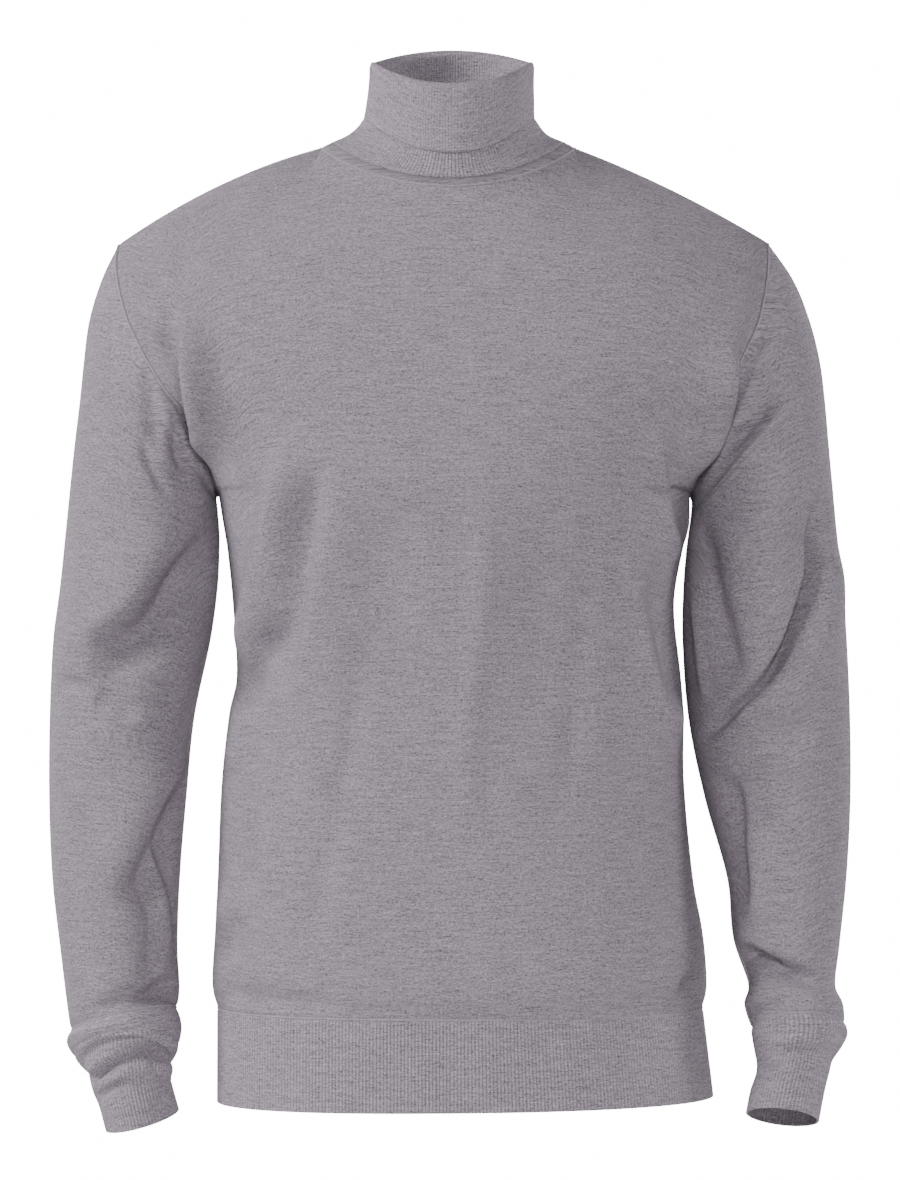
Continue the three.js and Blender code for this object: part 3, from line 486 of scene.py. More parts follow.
def panel_grid(face: Face, u: Array, at: Array) -> Array:
    """The smooth surface of the front or back panel, without its folds."""
    sections = [half_ring(ring, face) for ring in BODY_RINGS] + UPPER[face]
    knots = [s.at for s in sections] + [1]
    points = np.stack([section_points(s, u) for s in sections] + [top_edge(face, u)])
    chord = (points[-1] - points[-2]) / (1 - knots[-2])
    level = np.zeros_like(chord)
    level[:, 1] = -face.value * np.linalg.norm(chord, axis=1)
    on_shoulder = soft(np.abs(u), NECK_SHARE * 0.4, NECK_SHARE * 1.4)[:, None]
    grid = through(knots, points, at, mix(chord, level, on_shoulder))
    below = at < ARMPIT_AT
    grid[below, :, 1] = face.value * np.maximum(0, face.value * grid[below, :, 1])
    return grid


def ease_across(grid: Array, share: Array, passes: int = 40) -> Array:
    """The grid with its rows smoothed along themselves, each by its share, their ends kept."""
    eased = grid.copy()
    for _ in range(passes):
        eased[:, 1:-1] = (eased[:, :-2] + 2 * eased[:, 1:-1] + eased[:, 2:]) / 4
    return mix(grid, eased, share[:, None, None])


def limb_points(row: Row, angle: Array) -> Array:
    """Points of a sleeve or cuff ring, the angle 0 at the outer point, front next."""
    turn = angle - LIMB_SPREAD * np.sin(angle)
    c, s = np.cos(turn), np.sin(turn)
    return np.stack([
        (row.out_x + row.in_x) / 2 + (row.out_x - row.in_x) / 2 * c,
        row.mid_y - row.depth * s,
        (row.out_z + row.in_z) / 2 + (row.out_z - row.in_z) / 2 * c + row.lift * s,
    ], -1)


def slopes_of(grid: Array, axis: int, ringed: bool) -> Array:
    """Differences along one axis of a grid of points, round the ring where it is closed."""
    if ringed:
        return np.roll(grid, -1, axis) - np.roll(grid, 1, axis)
    return np.gradient(grid, axis=axis)


def normals_of(grid: Array, outward: float, ringed: bool) -> Array:
    """The outward normals of a grid of points, rows first."""
    across = slopes_of(grid, 1, ringed)
    up = slopes_of(grid, 0, False)
    return unit(np.cross(across, up)) * outward


def fold_line(fold: Row, pieces: int) -> Array:
    """The points of a fold's line in front view: through three points, or a crease's own."""
    if hasattr(fold, "line"):
        ends = np.array(fold.line, float).reshape(-1, 2)
        knots = np.linspace(0, 1, len(ends))
        return through(knots, ends[:, None, :], np.linspace(0, 1, pieces + 1))[:, 0]
    t = np.linspace(0, 1, pieces + 1)[:, None]
    first, middle, last = (
        np.array(point) for point in ((fold.x0, fold.z0), (fold.x1, fold.z1), (fold.x2, fold.z2)))
    return (1 - t) * (1 - 2 * t) * first + 4 * t * (1 - t) * middle + t * (2 * t - 1) * last


def fold_shift(folds: Sequence[Row], grid: Array, normals: Array) -> Array:
    """How far the folds move each point of a grid along its normal."""
    point, normal = grid.reshape(-1, 3), normals.reshape(-1, 3)
    total = np.zeros(len(point))
    pieces = 12
    for f in folds:
        line = fold_line(f, pieces)
        facing = normal[:, 1] * f.face.value
        flat = point[:, ::2]
        reach = 3 * max(f.wide_left, f.wide_right)
        box_low, box_high = line.min(0) - reach, line.max(0) + reach
        near = (facing > 0) & np.all((flat > box_low) & (flat < box_high), axis=1)
        if not near.any():
            continue
        flat = flat[near]
        best = np.full(len(flat), np.inf)
        along, left = np.zeros(len(flat)), np.zeros(len(flat), bool)
        for i in range(pieces):
            step = line[i + 1] - line[i]
            share = np.clip((flat - line[i]) @ step / (step @ step), 0, 1)
            off = flat - line[i] - share[:, None] * step
            gap = np.hypot(off[:, 0], off[:, 1])
            closer = gap < best
            best = np.where(closer, gap, best)
            along = np.where(closer, (i + share) / pieces, along)
            left = np.where(closer, step[0] * off[:, 1] - step[1] * off[:, 0] > 0, left)
        wide = np.where(left, f.wide_left, f.wide_right)
        ends = getattr(f, "ends", 0.3)
        fade = soft(along, 0, ends) * soft(1 - along, 0, ends) * soft(facing[near], 0, 0.45)
        total[near] += f.lift * bell(best, wide) * fade
    return total.reshape(grid.shape[:2])


def close_to_ends(low: float, high: float, count: int, near: float) -> Array:
    """Even steps from low to high, with finer ones within near of each end."""
    finer = near * np.array([0.03, 0.15, 0.35, 0.55, 0.8])
    even = np.linspace(low, high, count + 1)
    inner = even[(even > low + near) & (even < high - near)]
    return np.concatenate([[low], low + finer, inner, high - finer[::-1], [high]])


def run_along(grid: Array, axis: int) -> Array:
    """The distance along a grid from its first row or column, in the grid's unit."""
    steps = np.linalg.norm(np.diff(grid, axis=axis), axis=-1)
    first = np.zeros_like(np.take(steps, [0], axis))
    return np.cumsum(np.concatenate([first, steps], axis), axis)


def folded(
    grid: Array, folds: Sequence[Row], deepened: float, held: Array, outward: float, ringed: bool,
) -> tuple[Array, Array]:
    """The grid of a cloth with its folds in it.

    Args:
        grid: the smooth cloth's points, rows x columns x 3.
        folds: the folds and creases.
        deepened: how many times as deep as in their tables they are.
        held: the share of them that each row keeps, 0 where a seam holds it flat.
        outward: the sign that turns the normals outward.
        ringed: whether the last column joins the first.

    Returns:
        The moved points and their normals.
    """
    normals = normals_of(grid, outward, ringed)
    shift = fold_shift(folds, grid, normals) * deepened * held[:, None]
    grid = grid + normals * shift[..., None]
    return grid, normals_of(grid, outward, ringed)


def seam_groove(run: Array) -> Array:
    """How far cloth dips at a distance from a seam, with a faint second line beside it."""
    second = SECOND_LINE_SHARE * SEAM_DEPTH * bell(run - SECOND_LINE_AT, SECOND_LINE_WIDTH)
    return -SEAM_DEPTH * bell(run, SEAM_WIDTH) - second


@dataclass
class Cloth:
    """A sheet of knit as a grid of outside points, from which a closed wall is made."""

    name: str
    grid: Array
    normals: Array
    ringed: bool
    relief: Array | None = None
    ribbed: Array | None = None

    def thicken(self) -> Array:
        """The points of the outside rows followed by those of the inside rows, last first."""
        outside = self.grid
        if self.relief is not None:
            outside = outside + self.normals * self.relief[..., None]
        inside = outside - self.normals * WALL
        return np.concatenate([outside, inside[::-1]])

    def edge_line(self, rows, columns, closed: bool = False) -> Array:
        """The outside points along an edge with their normals, six numbers for each point."""
        raised = 0 if self.relief is None else self.relief[..., None]
        line = np.concatenate([self.grid + self.normals * raised, self.normals], -1)[rows, columns]
        return np.concatenate([line, line[:1]]) if closed else line

    def level_map(self, from_row: int) -> Array:
        """Coordinates along level courses from the middle column, and up from a row."""
        grid, normals = self.grid, self.normals
        if self.ringed:
            grid = np.concatenate([grid, grid[:, :1]], 1)
            normals = np.concatenate([normals, normals[:, :1]], 1)
        course = unit(np.stack([-normals[..., 1], normals[..., 0], 0 * normals[..., 0]], -1))
        wale = np.cross(normals, course)
        middle = grid.shape[1] // 2
        steps = np.diff(grid, axis=1)
        along = np.einsum("ijk,ijk->ij", steps, (course[:, 1:] + course[:, :-1]) / 2)
        along = np.cumsum(np.concatenate([0 * along[:, :1], along], 1), 1)
        along -= along[:, middle : middle + 1]
        rises = np.diff(grid, axis=0)
        up = np.einsum("ijk,ijk->ij", rises, (wale[1:] + wale[:-1]) / 2)
        up = np.cumsum(np.concatenate([0 * up[:1], up]), 0)
        up -= up[from_row : from_row + 1 or None]
        level = grid[from_row, :, 2] - grid[from_row, middle, 2]
        return np.stack([along, up + level], -1)

    def make(self, uv: Array) -> bpy.types.Object:
        """The wall as an object at the origin, in metres, with a map of its outside rows."""
        obj = grid_object(self.name, self.thicken(), self.ringed, np.concatenate([uv, uv[::-1]]))
        if self.ribbed is not None:
            mark_ribs(obj, np.concatenate([self.ribbed, self.ribbed[::-1]]))
        return obj


def rib_map(grid: Array, ringed: bool, pitch: float) -> Array:
    """Coordinates that count ribs across, each as wide as the pitch, and go up the ribs."""
    rows, columns = grid.shape[:2]
    across = np.arange(columns + ringed) * pitch / len(RIB_PROFILE)
    height = run_along(grid, 0)
    if ringed:
        height = np.concatenate([height, height[:, :1]], 1)
    return np.stack([np.broadcast_to(across, (rows, len(across))), height], -1)


def rib_wave(columns: int) -> Array:
    """The height of one-by-one ribs across so many columns, from 0 in a groove to 1 on a crest."""
    return np.resize(RIB_PROFILE, columns)


def rib_angles(points: Array, angles: Array, pitch: float) -> Array:
    """Angles spaced evenly along a curve, so many to each rib that there is one for each height.

    Args:
        points: the curve's points at the angles.
        angles: rising angles.
        pitch: how far apart the ribs are, before it is evened out to whole ribs.

    Returns:
        The angles, with the last one at the curve's end.
    """
    run = np.concatenate([[0], np.cumsum(np.linalg.norm(np.diff(points, axis=0), axis=1))])
    count = round(run[-1] / pitch) * len(RIB_PROFILE)
    return np.interp(np.linspace(0, run[-1], count + 1), run, angles)


def mark_ribs(obj: bpy.types.Object, ribbed: Array) -> None:
    """Stores how strongly each point of a piece is ribbed, 0 to 1; this scales its painted rib-groove shade.
    """
    layer = obj.data.attributes.new(RIBBED, "FLOAT", "POINT")
    layer.data.foreach_set("value", np.ascontiguousarray(ribbed, np.float32).ravel())


def add_object(name: str, data: bpy.types.ID) -> bpy.types.Object:
    """A new object in the scene."""
    obj = bpy.data.objects.new(name, data)
    bpy.context.scene.collection.objects.link(obj)
    return obj


def grid_object(name: str, points: Array, ringed: bool, uv: Array) -> bpy.types.Object:
    """A closed mesh from a grid of points whose last row joins its first.

    Args:
        name: the object's name.
        points: the grid in millimetres, rows x columns x 3. Where the columns are open, the
            second half of the rows runs back under the first half, and the ends are closed.
        ringed: whether the last column joins the first.
        uv: the map's coordinates in millimetres, with one column more than the points if ringed.

    Returns:
        The object, smooth shaded, at the origin.
    """
    rows, columns = points.shape[:2]
    i, j = np.meshgrid(np.arange(rows), np.arange(columns if ringed else columns - 1), indexing="ij")
    corners_i = np.stack([i, i, i + 1, i + 1], -1).reshape(-1, 4)
    corners_j = np.stack([j, j + 1, j + 1, j], -1).reshape(-1, 4)
    if not ringed:
        k = np.arange(rows // 2 - 1)
        rim = np.stack([k, k + 1, rows - 2 - k, rows - 1 - k], -1)
        for column, order in ((0, slice(None)), (columns - 1, slice(None, None, -1))):
            corners_i = np.concatenate([corners_i, rim[:, order]])
            corners_j = np.concatenate([corners_j, np.full_like(rim, column)])
    faces = (corners_i % rows) * columns + corners_j % columns
    flat = points.reshape(-1, 3) * MM
    a, b, c, d = (flat[faces[:, n]] for n in range(4))
    volume = np.einsum("ij,ij->", a, np.cross(b, c)) + np.einsum("ij,ij->", a, np.cross(c, d))
    if volume < 0:
        faces, corners_i, corners_j = faces[:, ::-1], corners_i[:, ::-1], corners_j[:, ::-1]
    mesh = bpy.data.meshes.new(name)
    mesh.vertices.add(len(flat))
    mesh.vertices.foreach_set("co", flat.ravel())
    mesh.loops.add(faces.size)
    mesh.loops.foreach_set("vertex_index", faces.ravel().astype(np.int32))
    mesh.polygons.add(len(faces))
    mesh.polygons.foreach_set("loop_start", np.arange(0, faces.size, 4, dtype=np.int32))
    mesh.update(calc_edges=True)
    mesh.validate()
    mesh.polygons.foreach_set("use_smooth", np.ones(len(faces), bool))
    layer = mesh.uv_layers.new(name=UV_MAP)
    layer.data.foreach_set("uv", (uv[corners_i % rows, corners_j] * MM).ravel())
    return add_object(name, mesh)


@dataclass(frozen=True)
class KnitFinish:
    """A heather knit: its colour, its stitches and how it takes the light."""

    name: str
    colour: tuple[float, float, float]
    wales: float  # per metre
    courses: float  # per metre
    relief: float  # the height of a stitch, in metres
    ribs: float = 0.0  # per metre, 0 where the knit is plain
    streaks: float = 0.37
    roughness: float = 0.95
    specular: float = 0.2
    sheen: float = 0.1
    sheen_roughness: float = 0.45
    sheen_tint: tuple[float, float, float] = (0.9, 0.87, 0.92)

    def material(self) -> bpy.types.Material:
        """The finish as a node material."""
        material = bpy.data.materials.new(self.name)
        material.use_nodes = True
        tree = material.node_tree
        shader = tree.nodes["Principled BSDF"]
        knit = tree.nodes.new("ShaderNodeGroup")
        knit.node_tree = heather_group()
        place = tree.nodes.new("ShaderNodeUVMap")
        place.uv_map = UV_MAP
        for socket, value in (
            ("Yarn", (*self.colour, 1)), ("Wales", self.wales), ("Courses", self.courses),
            ("Relief", self.relief), ("Streaks", self.streaks), ("Ribs", self.ribs),
        ):
            knit.inputs[socket].default_value = value
        if self.ribs:
            ribbed = tree.nodes.new("ShaderNodeAttribute")
            ribbed.attribute_name = RIBBED
            tree.links.new(ribbed.outputs["Fac"], knit.inputs["Ribbed"])
        tree.links.new(place.outputs["UV"], knit.inputs["Place"])
        tree.links.new(knit.outputs["Colour"], shader.inputs["Base Color"])
        tree.links.new(knit.outputs["Normal"], shader.inputs["Normal"])
        for socket, value in (
            ("Roughness", self.roughness), ("Specular IOR Level", self.specular),
            ("Sheen Weight", self.sheen), ("Sheen Roughness", self.sheen_roughness),
            ("Sheen Tint", (*self.sheen_tint, 1)),
        ):
            shader.inputs[socket].default_value = value
        return material


class NodeMaker:
    """Adds nodes to a tree in short lines."""

    def __init__(self, tree: bpy.types.NodeTree) -> None:
        self.tree = tree

    def add(self, kind: str, inputs: dict | None = None, **settings) -> bpy.types.Node:
        """A node of a kind, with settings, and inputs as values or as sockets to link."""
        node = self.tree.nodes.new(kind)
        for key, value in settings.items():
            setattr(node, key, value)
        for key, value in (inputs or {}).items():
            if isinstance(value, bpy.types.NodeSocket):
                self.tree.links.new(value, node.inputs[key])
            else:
                node.inputs[key].default_value = value
        return node

    def math(self, operation: str, *values) -> bpy.types.NodeSocket:
        """The result of a math node on up to three values or sockets."""
        return self.add("ShaderNodeMath", dict(enumerate(values)), operation=operation).outputs[0]

    def noise(self, place, scale: tuple[float, float], detail: float = 2) -> bpy.types.NodeSocket:
        """Noise on the map, with so many blotches a metre along and up."""
        at = self.add("ShaderNodeMapping", {"Vector": place, "Scale": (*scale, 1)}).outputs[0]
        node = self.add(
            "ShaderNodeTexNoise", {"Vector": at, "Scale": 1, "Detail": detail, "Roughness": 0.6})
        return node.outputs["Fac"]


def heather_group() -> bpy.types.NodeTree:
    """The shared node group: heather colour with painted rib-groove shade, and stitch normals, from the
    knit's map.
    """
    name = "Heather knit"
    if name in bpy.data.node_groups:
        return bpy.data.node_groups[name]
    tree = bpy.data.node_groups.new(name, "ShaderNodeTree")
    sockets = (
        ("Place", "INPUT", "NodeSocketVector"), ("Yarn", "INPUT", "NodeSocketColor"),
        ("Wales", "INPUT", "NodeSocketFloat"), ("Courses", "INPUT", "NodeSocketFloat"),
        ("Relief", "INPUT", "NodeSocketFloat"), ("Streaks", "INPUT", "NodeSocketFloat"),
        ("Ribs", "INPUT", "NodeSocketFloat"), ("Ribbed", "INPUT", "NodeSocketFloat"),
        ("Colour", "OUTPUT", "NodeSocketColor"), ("Normal", "OUTPUT", "NodeSocketVector"),
    )
    for label, way, kind in sockets:
        tree.interface.new_socket(label, in_out=way, socket_type=kind)
    make = NodeMaker(tree)
    given = make.add("NodeGroupInput").outputs
    result = make.add("NodeGroupOutput").inputs
    place = given["Place"]

    # Short dashes of darker and lighter yarn lie along the courses, with a grain of single
    # stitches over them and soft clouds under them.
    grain = make.noise(place, (640, 800), 1)
    fine = make.noise(place, (250, 900), 2)
    long = make.noise(place, (48, 400), 2)
    cloudy = make.noise(place, (14, 24), 2)
    streak = make.math("ADD", make.math("MULTIPLY", grain, 0.42), make.math("MULTIPLY", fine, 0.36))
    streak = make.math("ADD", streak, make.math("MULTIPLY", long, 0.22))
    streak = make.math("SUBTRACT", streak, 0.5)
    streak = make.math("MULTIPLY", streak, make.math("MULTIPLY", given["Streaks"], 10))
    cloud = make.math("MULTIPLY", make.math("SUBTRACT", cloudy, 0.5), 0.14)
    level = make.math("ADD", make.math("ADD", streak, cloud), 1)
    fleck = make.math("GREATER_THAN", make.noise(place, (420, 560), 1), 0.8)
    level = make.math("ADD", level, make.math("MULTIPLY", fleck, 0.3))

    # Painted shade darkens the grooves between ribs, as if they were in shadow. A rib's groove is where its
    # count is whole.
    parts = make.add("ShaderNodeSeparateXYZ", {0: place}).outputs
    phase = make.math("MULTIPLY", make.math("MULTIPLY", parts["X"], given["Ribs"]), TURN)
    groove = make.math("MULTIPLY", make.math("SUBTRACT", 1, make.math("COSINE", phase)), 0.5)
    shade = make.math("ADD", make.math("MULTIPLY", make.math("SQRT", groove), 0.3), 0.76)
    ribbed = given["Ribbed"]
    shade = make.math("ADD", make.math("MULTIPLY", shade, ribbed), make.math("SUBTRACT", 1, ribbed))
    level = make.math("MULTIPLY", level, shade)
    tinted = make.add("ShaderNodeVectorMath", {0: given["Yarn"]}, operation="SCALE")
    tree.links.new(level, tinted.inputs["Scale"])
    tree.links.new(tinted.outputs[0], result["Colour"])

    # A stitch is a small V: its two legs rise from the wale's middle to its edges.
    wale = make.math("FRACT", make.math("MULTIPLY", parts["X"], given["Wales"]))
    off = make.math("MULTIPLY", make.math("ABSOLUTE", make.math("SUBTRACT", wale, 0.5)), 2)
    course = make.math("MULTIPLY", parts["Y"], given["Courses"])
    leg = make.math("SINE", make.math("MULTIPLY", make.math("SUBTRACT", course, off), TURN))
    round_leg = make.math("SINE", make.math("MULTIPLY", off, math.pi))
    height = make.math("ADD", make.math("MULTIPLY", round_leg, 0.7), make.math("MULTIPLY", leg, 0.3))
    fuzz = make.noise(place, (2600, 2600), 2)
    height = make.math("ADD", height, make.math("MULTIPLY", fuzz, 0.6))
    bump = make.add("ShaderNodeBump", {
        "Height": height, "Distance": given["Relief"], "Strength": 1.0})
    tree.links.new(bump.outputs[0], result["Normal"])
    return tree


HEATHER_GREY = (0.33, 0.285, 0.335)
JERSEY = KnitFinish("heather_jersey", HEATHER_GREY, wales=640, courses=900, relief=0.0003)
YARN = KnitFinish(
    "seam_yarn", (0.385, 0.337, 0.39), wales=800, courses=1200, relief=0.00015, streaks=0.2)


def rib_finish(name: str, pitch: float) -> KnitFinish:
    """The ribbed knit whose ribs are so many millimetres apart."""
    ribs = 1 / (pitch * MM)
    return KnitFinish(name, HEATHER_GREY, wales=ribs, courses=900, relief=0.0002, ribs=ribs)


@dataclass(kw_only=True)
class KnitPiece:
    """A piece of cloth that takes the place of one solid, with its sheet's flat size in metres."""

    node: str
    rests_on: Sequence[str]
    flat: tuple[float, float]
    area: float | None = None  # in square metres, where the piece isn't cut as a rectangle
    held: str = "hung"
    slot: str = "jersey"
    cloth: Cloth | None = None
    piece: bpy.types.Object | None = None

    @property
    def name(self) -> str:
        """The name of the piece in the scene."""
        return f"cloth_{self.node}"

    def dress(
        self, material: bpy.types.Material, stitches: Sequence[bpy.types.Object] = (),
    ) -> None:
        """Gives the piece its knit and its body, and hides the solid that it takes the place of."""
        self.piece.data.materials.append(material)
        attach(self.piece, "root")
        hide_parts(self.node)


@dataclass(kw_only=True)
class BodyPanel(KnitPiece):
    """The front or the back of the body, from the hem band to the shoulder seams."""

    face: Face
    rests_on: Sequence[str] = ("neck_band",)
    flat: tuple[float, float] = (0.50, 0.70)
    area: float | None = 0.285
    side_columns: int = 46
    neck_columns: int = 60
    low_rows: int = 76
    high_rows: int = 64
    u: Array | None = None  # where the columns lie, from -1 at the right end to 1 at the left
    at: Array | None = None  # where the rows lie, from 0 at the hem to 1 at the top

    def shape(self) -> None:
        """Lays out the panel's points with their folds and seams."""
        inner = np.linspace(-NECK_SHARE, NECK_SHARE, self.neck_columns + 1)[1:-1]
        outer = close_to_ends(NECK_SHARE, 1, self.side_columns, 0.05)
        self.u = np.concatenate([-outer[::-1], inner, outer])
        low = close_to_ends(0, ARMPIT_AT, self.low_rows, 0.02)
        high = close_to_ends(ARMPIT_AT, 1, self.high_rows, 0.02)
        self.at = np.concatenate([low, high[1:]])
        eased = soft(self.at, 0.7, 0.8) * soft(1 - self.at, 0, 0.05)
        grid = ease_across(panel_grid(self.face, self.u, self.at), eased)
        held = soft(self.at, 0, 0.02) * soft(1 - self.at, 0, 0.03)
        folds = BODY_FOLDS + BODY_CREASES
        grid, normals = folded(grid, folds, BODY_FOLD_DEPTH, held, -self.face.value, False)
        self.cloth = Cloth(self.name, grid, normals, False)

    def edge(self, side: Side) -> tuple[Array, Array, Array]:
        """The armhole edge on a side: its heights from the armpit up, points and normals."""
        above = self.at >= ARMPIT_AT
        cloth = self.cloth
        return self.at[above], cloth.grid[above, side.column], cloth.normals[above, side.column]

    def sew(self) -> None:
        """Sinks the cloth along its seams."""
        grid = self.cloth.grid
        across = run_along(grid, 1)
        up = run_along(grid, 0)
        from_side = np.minimum(across, across[:, -1:] - across)
        from_top = up[-1:] - up
        relief = seam_groove(from_side) * soft(self.at, 0, 0.01)[:, None]
        on_shoulder = soft(np.abs(self.u), NECK_SHARE * 0.99, NECK_SHARE * 1.02)[None, :]
        relief += seam_groove(from_top) * on_shoulder
        to_side = soft(np.abs(self.u), 0.3, 0.75)[None, :]
        relief += -0.3 * bell(up, 1.5) - 1.2 * to_side * bell(up, 6)
        self.cloth.relief = relief

    def build(self) -> None:
        """Makes the panel's closed wall."""
        self.piece = self.cloth.make(self.cloth.level_map(0))


@dataclass(kw_only=True)
class Sleeve(KnitPiece):
    """A set-in sleeve from the armhole to the cuff, closed by a seam under the arm."""

    side: Side
    rests_on: Sequence[str] = ("front", "back")
    flat: tuple[float, float] = (0.40, 0.58)
    area: float | None = 0.157
    points: int = 156
    rings: int = 214
    crowding: float = 1.1  # above 1, the rings lie closer at the armhole
    angle: Array | None = None  # where the points of a ring lie, 0 at the outer one, front next
    at: Array | None = None  # where the rings lie, from 0 at the armhole to 1 at the cuff

    def shape(self, front: BodyPanel, back: BodyPanel) -> None:
        """Lays out the sleeve's points from the panels' armhole edges down."""
        self.angle = np.linspace(-math.pi, math.pi, self.points + 1)[:-1]
        self.at = close_to_ends(0, 1, self.rings, 0.02) ** self.crowding
        rows = SLEEVE_ROWS[self.side]
        armhole = self.armhole(front, back)[0]
        points = np.stack([armhole] + [limb_points(row, self.angle) for row in rows])
        grid = through([0] + [row.at for row in rows], points, self.at)
        held = soft(self.at, 0, 0.02) * soft(1 - self.at, 0, 0.014)
        folds = SLEEVE_FOLDS[self.side] + SLEEVE_CREASES[self.side]
        grid, normals = folded(grid, folds, SLEEVE_FOLD_DEPTH, held, self.side.value, True)
        self.cloth = Cloth(self.name, grid, normals, True)

    def armhole(self, front: BodyPanel, back: BodyPanel) -> tuple[Array, Array]:
        """The armhole's points and the panels' normals at the sleeve's angles."""
        share = np.abs(self.angle) / math.pi
        height = 1 - share * (1 - ARMPIT_AT)
        found = []
        for which in (1, 2):
            sides = []
            for panel in (front, back):
                edge = panel.edge(self.side)
                found_side = [np.interp(height, edge[0], edge[which][:, n]) for n in range(3)]
                sides.append(np.stack(found_side, -1))
            on_front = np.where((self.angle > 0) & (self.angle < math.pi), 1.0, 0.0)
            on_front[(share == 0) | (share == 1)] = 0.5
            found.append(mix(sides[1], sides[0], on_front[:, None]))
        return found[0], unit(found[1])

    def join(self, front: BodyPanel, back: BodyPanel) -> None:
        """Makes the sleeve's rim and the panels' rims share their directions."""
        shared = unit(self.armhole(front, back)[1] + self.cloth.normals[0])
        self.cloth.normals[0] = shared
        for panel, sign in ((front, 1), (back, -1)):
            above = panel.at >= ARMPIT_AT
            angle = sign * (1 - panel.at[above]) / (1 - ARMPIT_AT) * math.pi
            normal = np.stack([
                np.interp(angle, self.angle, shared[:, n], period=TURN) for n in range(3)], -1)
            panel.cloth.normals[above, self.side.column] = unit(normal)

    def sew(self) -> None:
        """Sinks the cloth at the armhole, under the arm and above the cuff."""
        grid = self.cloth.grid
        down = run_along(grid, 0)
        across = run_along(grid, 1)
        gap = np.linalg.norm(grid[:, 0] - grid[:, -1], axis=-1)[:, None]
        from_seam = np.minimum(across, across[:, -1:] + gap - across)
        relief = seam_groove(down) + seam_groove(from_seam) * soft(self.at, 0, 0.02)[:, None]
        relief += -1.1 * bell(down[-1:] - down, CUFF_SEAM_WIDTH)
        self.cloth.relief = relief

    def build(self) -> None:
        """Makes the sleeve's closed wall."""
        self.piece = self.cloth.make(self.cloth.level_map(-1))


@dataclass(kw_only=True)
class Cuff(KnitPiece):
    """A ribbed cuff, pushed up so that it rolls and creases.

    The ribs start a share of the cuff's height below its top, where the cloth above is plain.
    """

    side: Side
    flat: tuple[float, float] = (0.22, 0.085)
    area: float | None = 0.0155
    held: str = "gathered"
    slot: str = "rib"
    rib_start: float = 0.0
    pitch: float = 2.7
    height: float = 0.75
    rings: int = 60

    def build(self) -> None:
        """Makes the cuff's closed wall with ribs on both faces."""
        rows = CUFF_ROWS[self.side]
        fine = np.linspace(-math.pi, math.pi, 361)
        angle = rib_angles(limb_points(rows[len(rows) // 2], fine), fine, self.pitch)[:-1]
        at = close_to_ends(0, 1, self.rings, 0.04)
        points = np.stack([limb_points(row, angle) for row in rows])
        grid = through([row.at for row in rows], points, at)
        creases = CUFF_CREASES[self.side]
        grid, normals = folded(grid, creases, 1, soft(at, 0, 0.05), self.side.value, True)
        begun = soft(at, self.rib_start, self.rib_start + 0.03)[:, None]
        from_start, from_top = (at - self.rib_start) * CUFF_LENGTH, at * CUFF_LENGTH
        relief = rib_wave(len(angle))[None, :] * self.height * begun
        if self.rib_start > 0:
            relief = relief - 0.6 * bell(from_start, 1.6)[:, None]
        relief = relief - bell(from_top, CUFF_SEAM_WIDTH)[:, None]
        ribbed = np.broadcast_to(begun, grid.shape[:2])
        self.cloth = Cloth(self.name, grid, normals, True, relief, ribbed)
        self.piece = self.cloth.make(rib_map(grid, True, self.pitch))


@dataclass(kw_only=True)
class HemBand(KnitPiece):
    """Half of the ribbed band below the body, front or back."""

    face: Face
    flat: tuple[float, float] = (0.52, 0.065)
    slot: str = "rib"
    pitch: float = 2.45
    height: float = 0.7
    lean: float = 4
    rows: int = 20
    square: float = 2.3

    def ring(self, low: float, angle: Array) -> Array:
        """The band's line, low being 0 at its seam and 1 at its lower edge."""
        right, left, depth = (
            mix(*ends, low) for ends in (HEM_RIGHT, HEM_LEFT, HEM_REACH[self.face]))
        c, s = np.cos(angle), np.sin(angle)
        power = 2 / self.square
        reach = np.where(s < 0, -right, left)
        z = mix(HEM_TOP, HEM_TOP - HEM_DEPTH, low) + self.lean * s / 2 * low
        return np.stack([
            reach * np.sign(s) * np.abs(s) ** power,
            self.face.value * depth * np.abs(c) ** power,
            z,
        ], -1)

    def build(self) -> None:
        """Makes the band's closed wall with its ribs."""
        quarter = math.pi / 2
        fine = np.linspace(-quarter, quarter, 361)
        angle = rib_angles(self.ring(0, fine), fine, self.pitch)
        low = close_to_ends(0, 1, self.rows, 0.12)[::-1]
        grid = np.stack([self.ring(share, angle) for share in low])
        normals = normals_of(grid, -self.face.value, False)
        normals[:, 0] = (-1, 0, 0)
        normals[:, -1] = (1, 0, 0)
        relief = rib_wave(len(angle))[None, :] * self.height * soft(low, 0, 0.05)[:, None]
        self.cloth = Cloth(self.name, grid, normals, False, relief, np.ones(grid.shape[:2]))
        self.piece = self.cloth.make(rib_map(grid, False, self.pitch))


def between_rows(first: Row, second: Row, share: float) -> Row:
    """The ring that lies a share of the way from one ring to another."""
    return Row(**{k: mix(getattr(first, k), getattr(second, k), share) for k in COLLAR.split()})


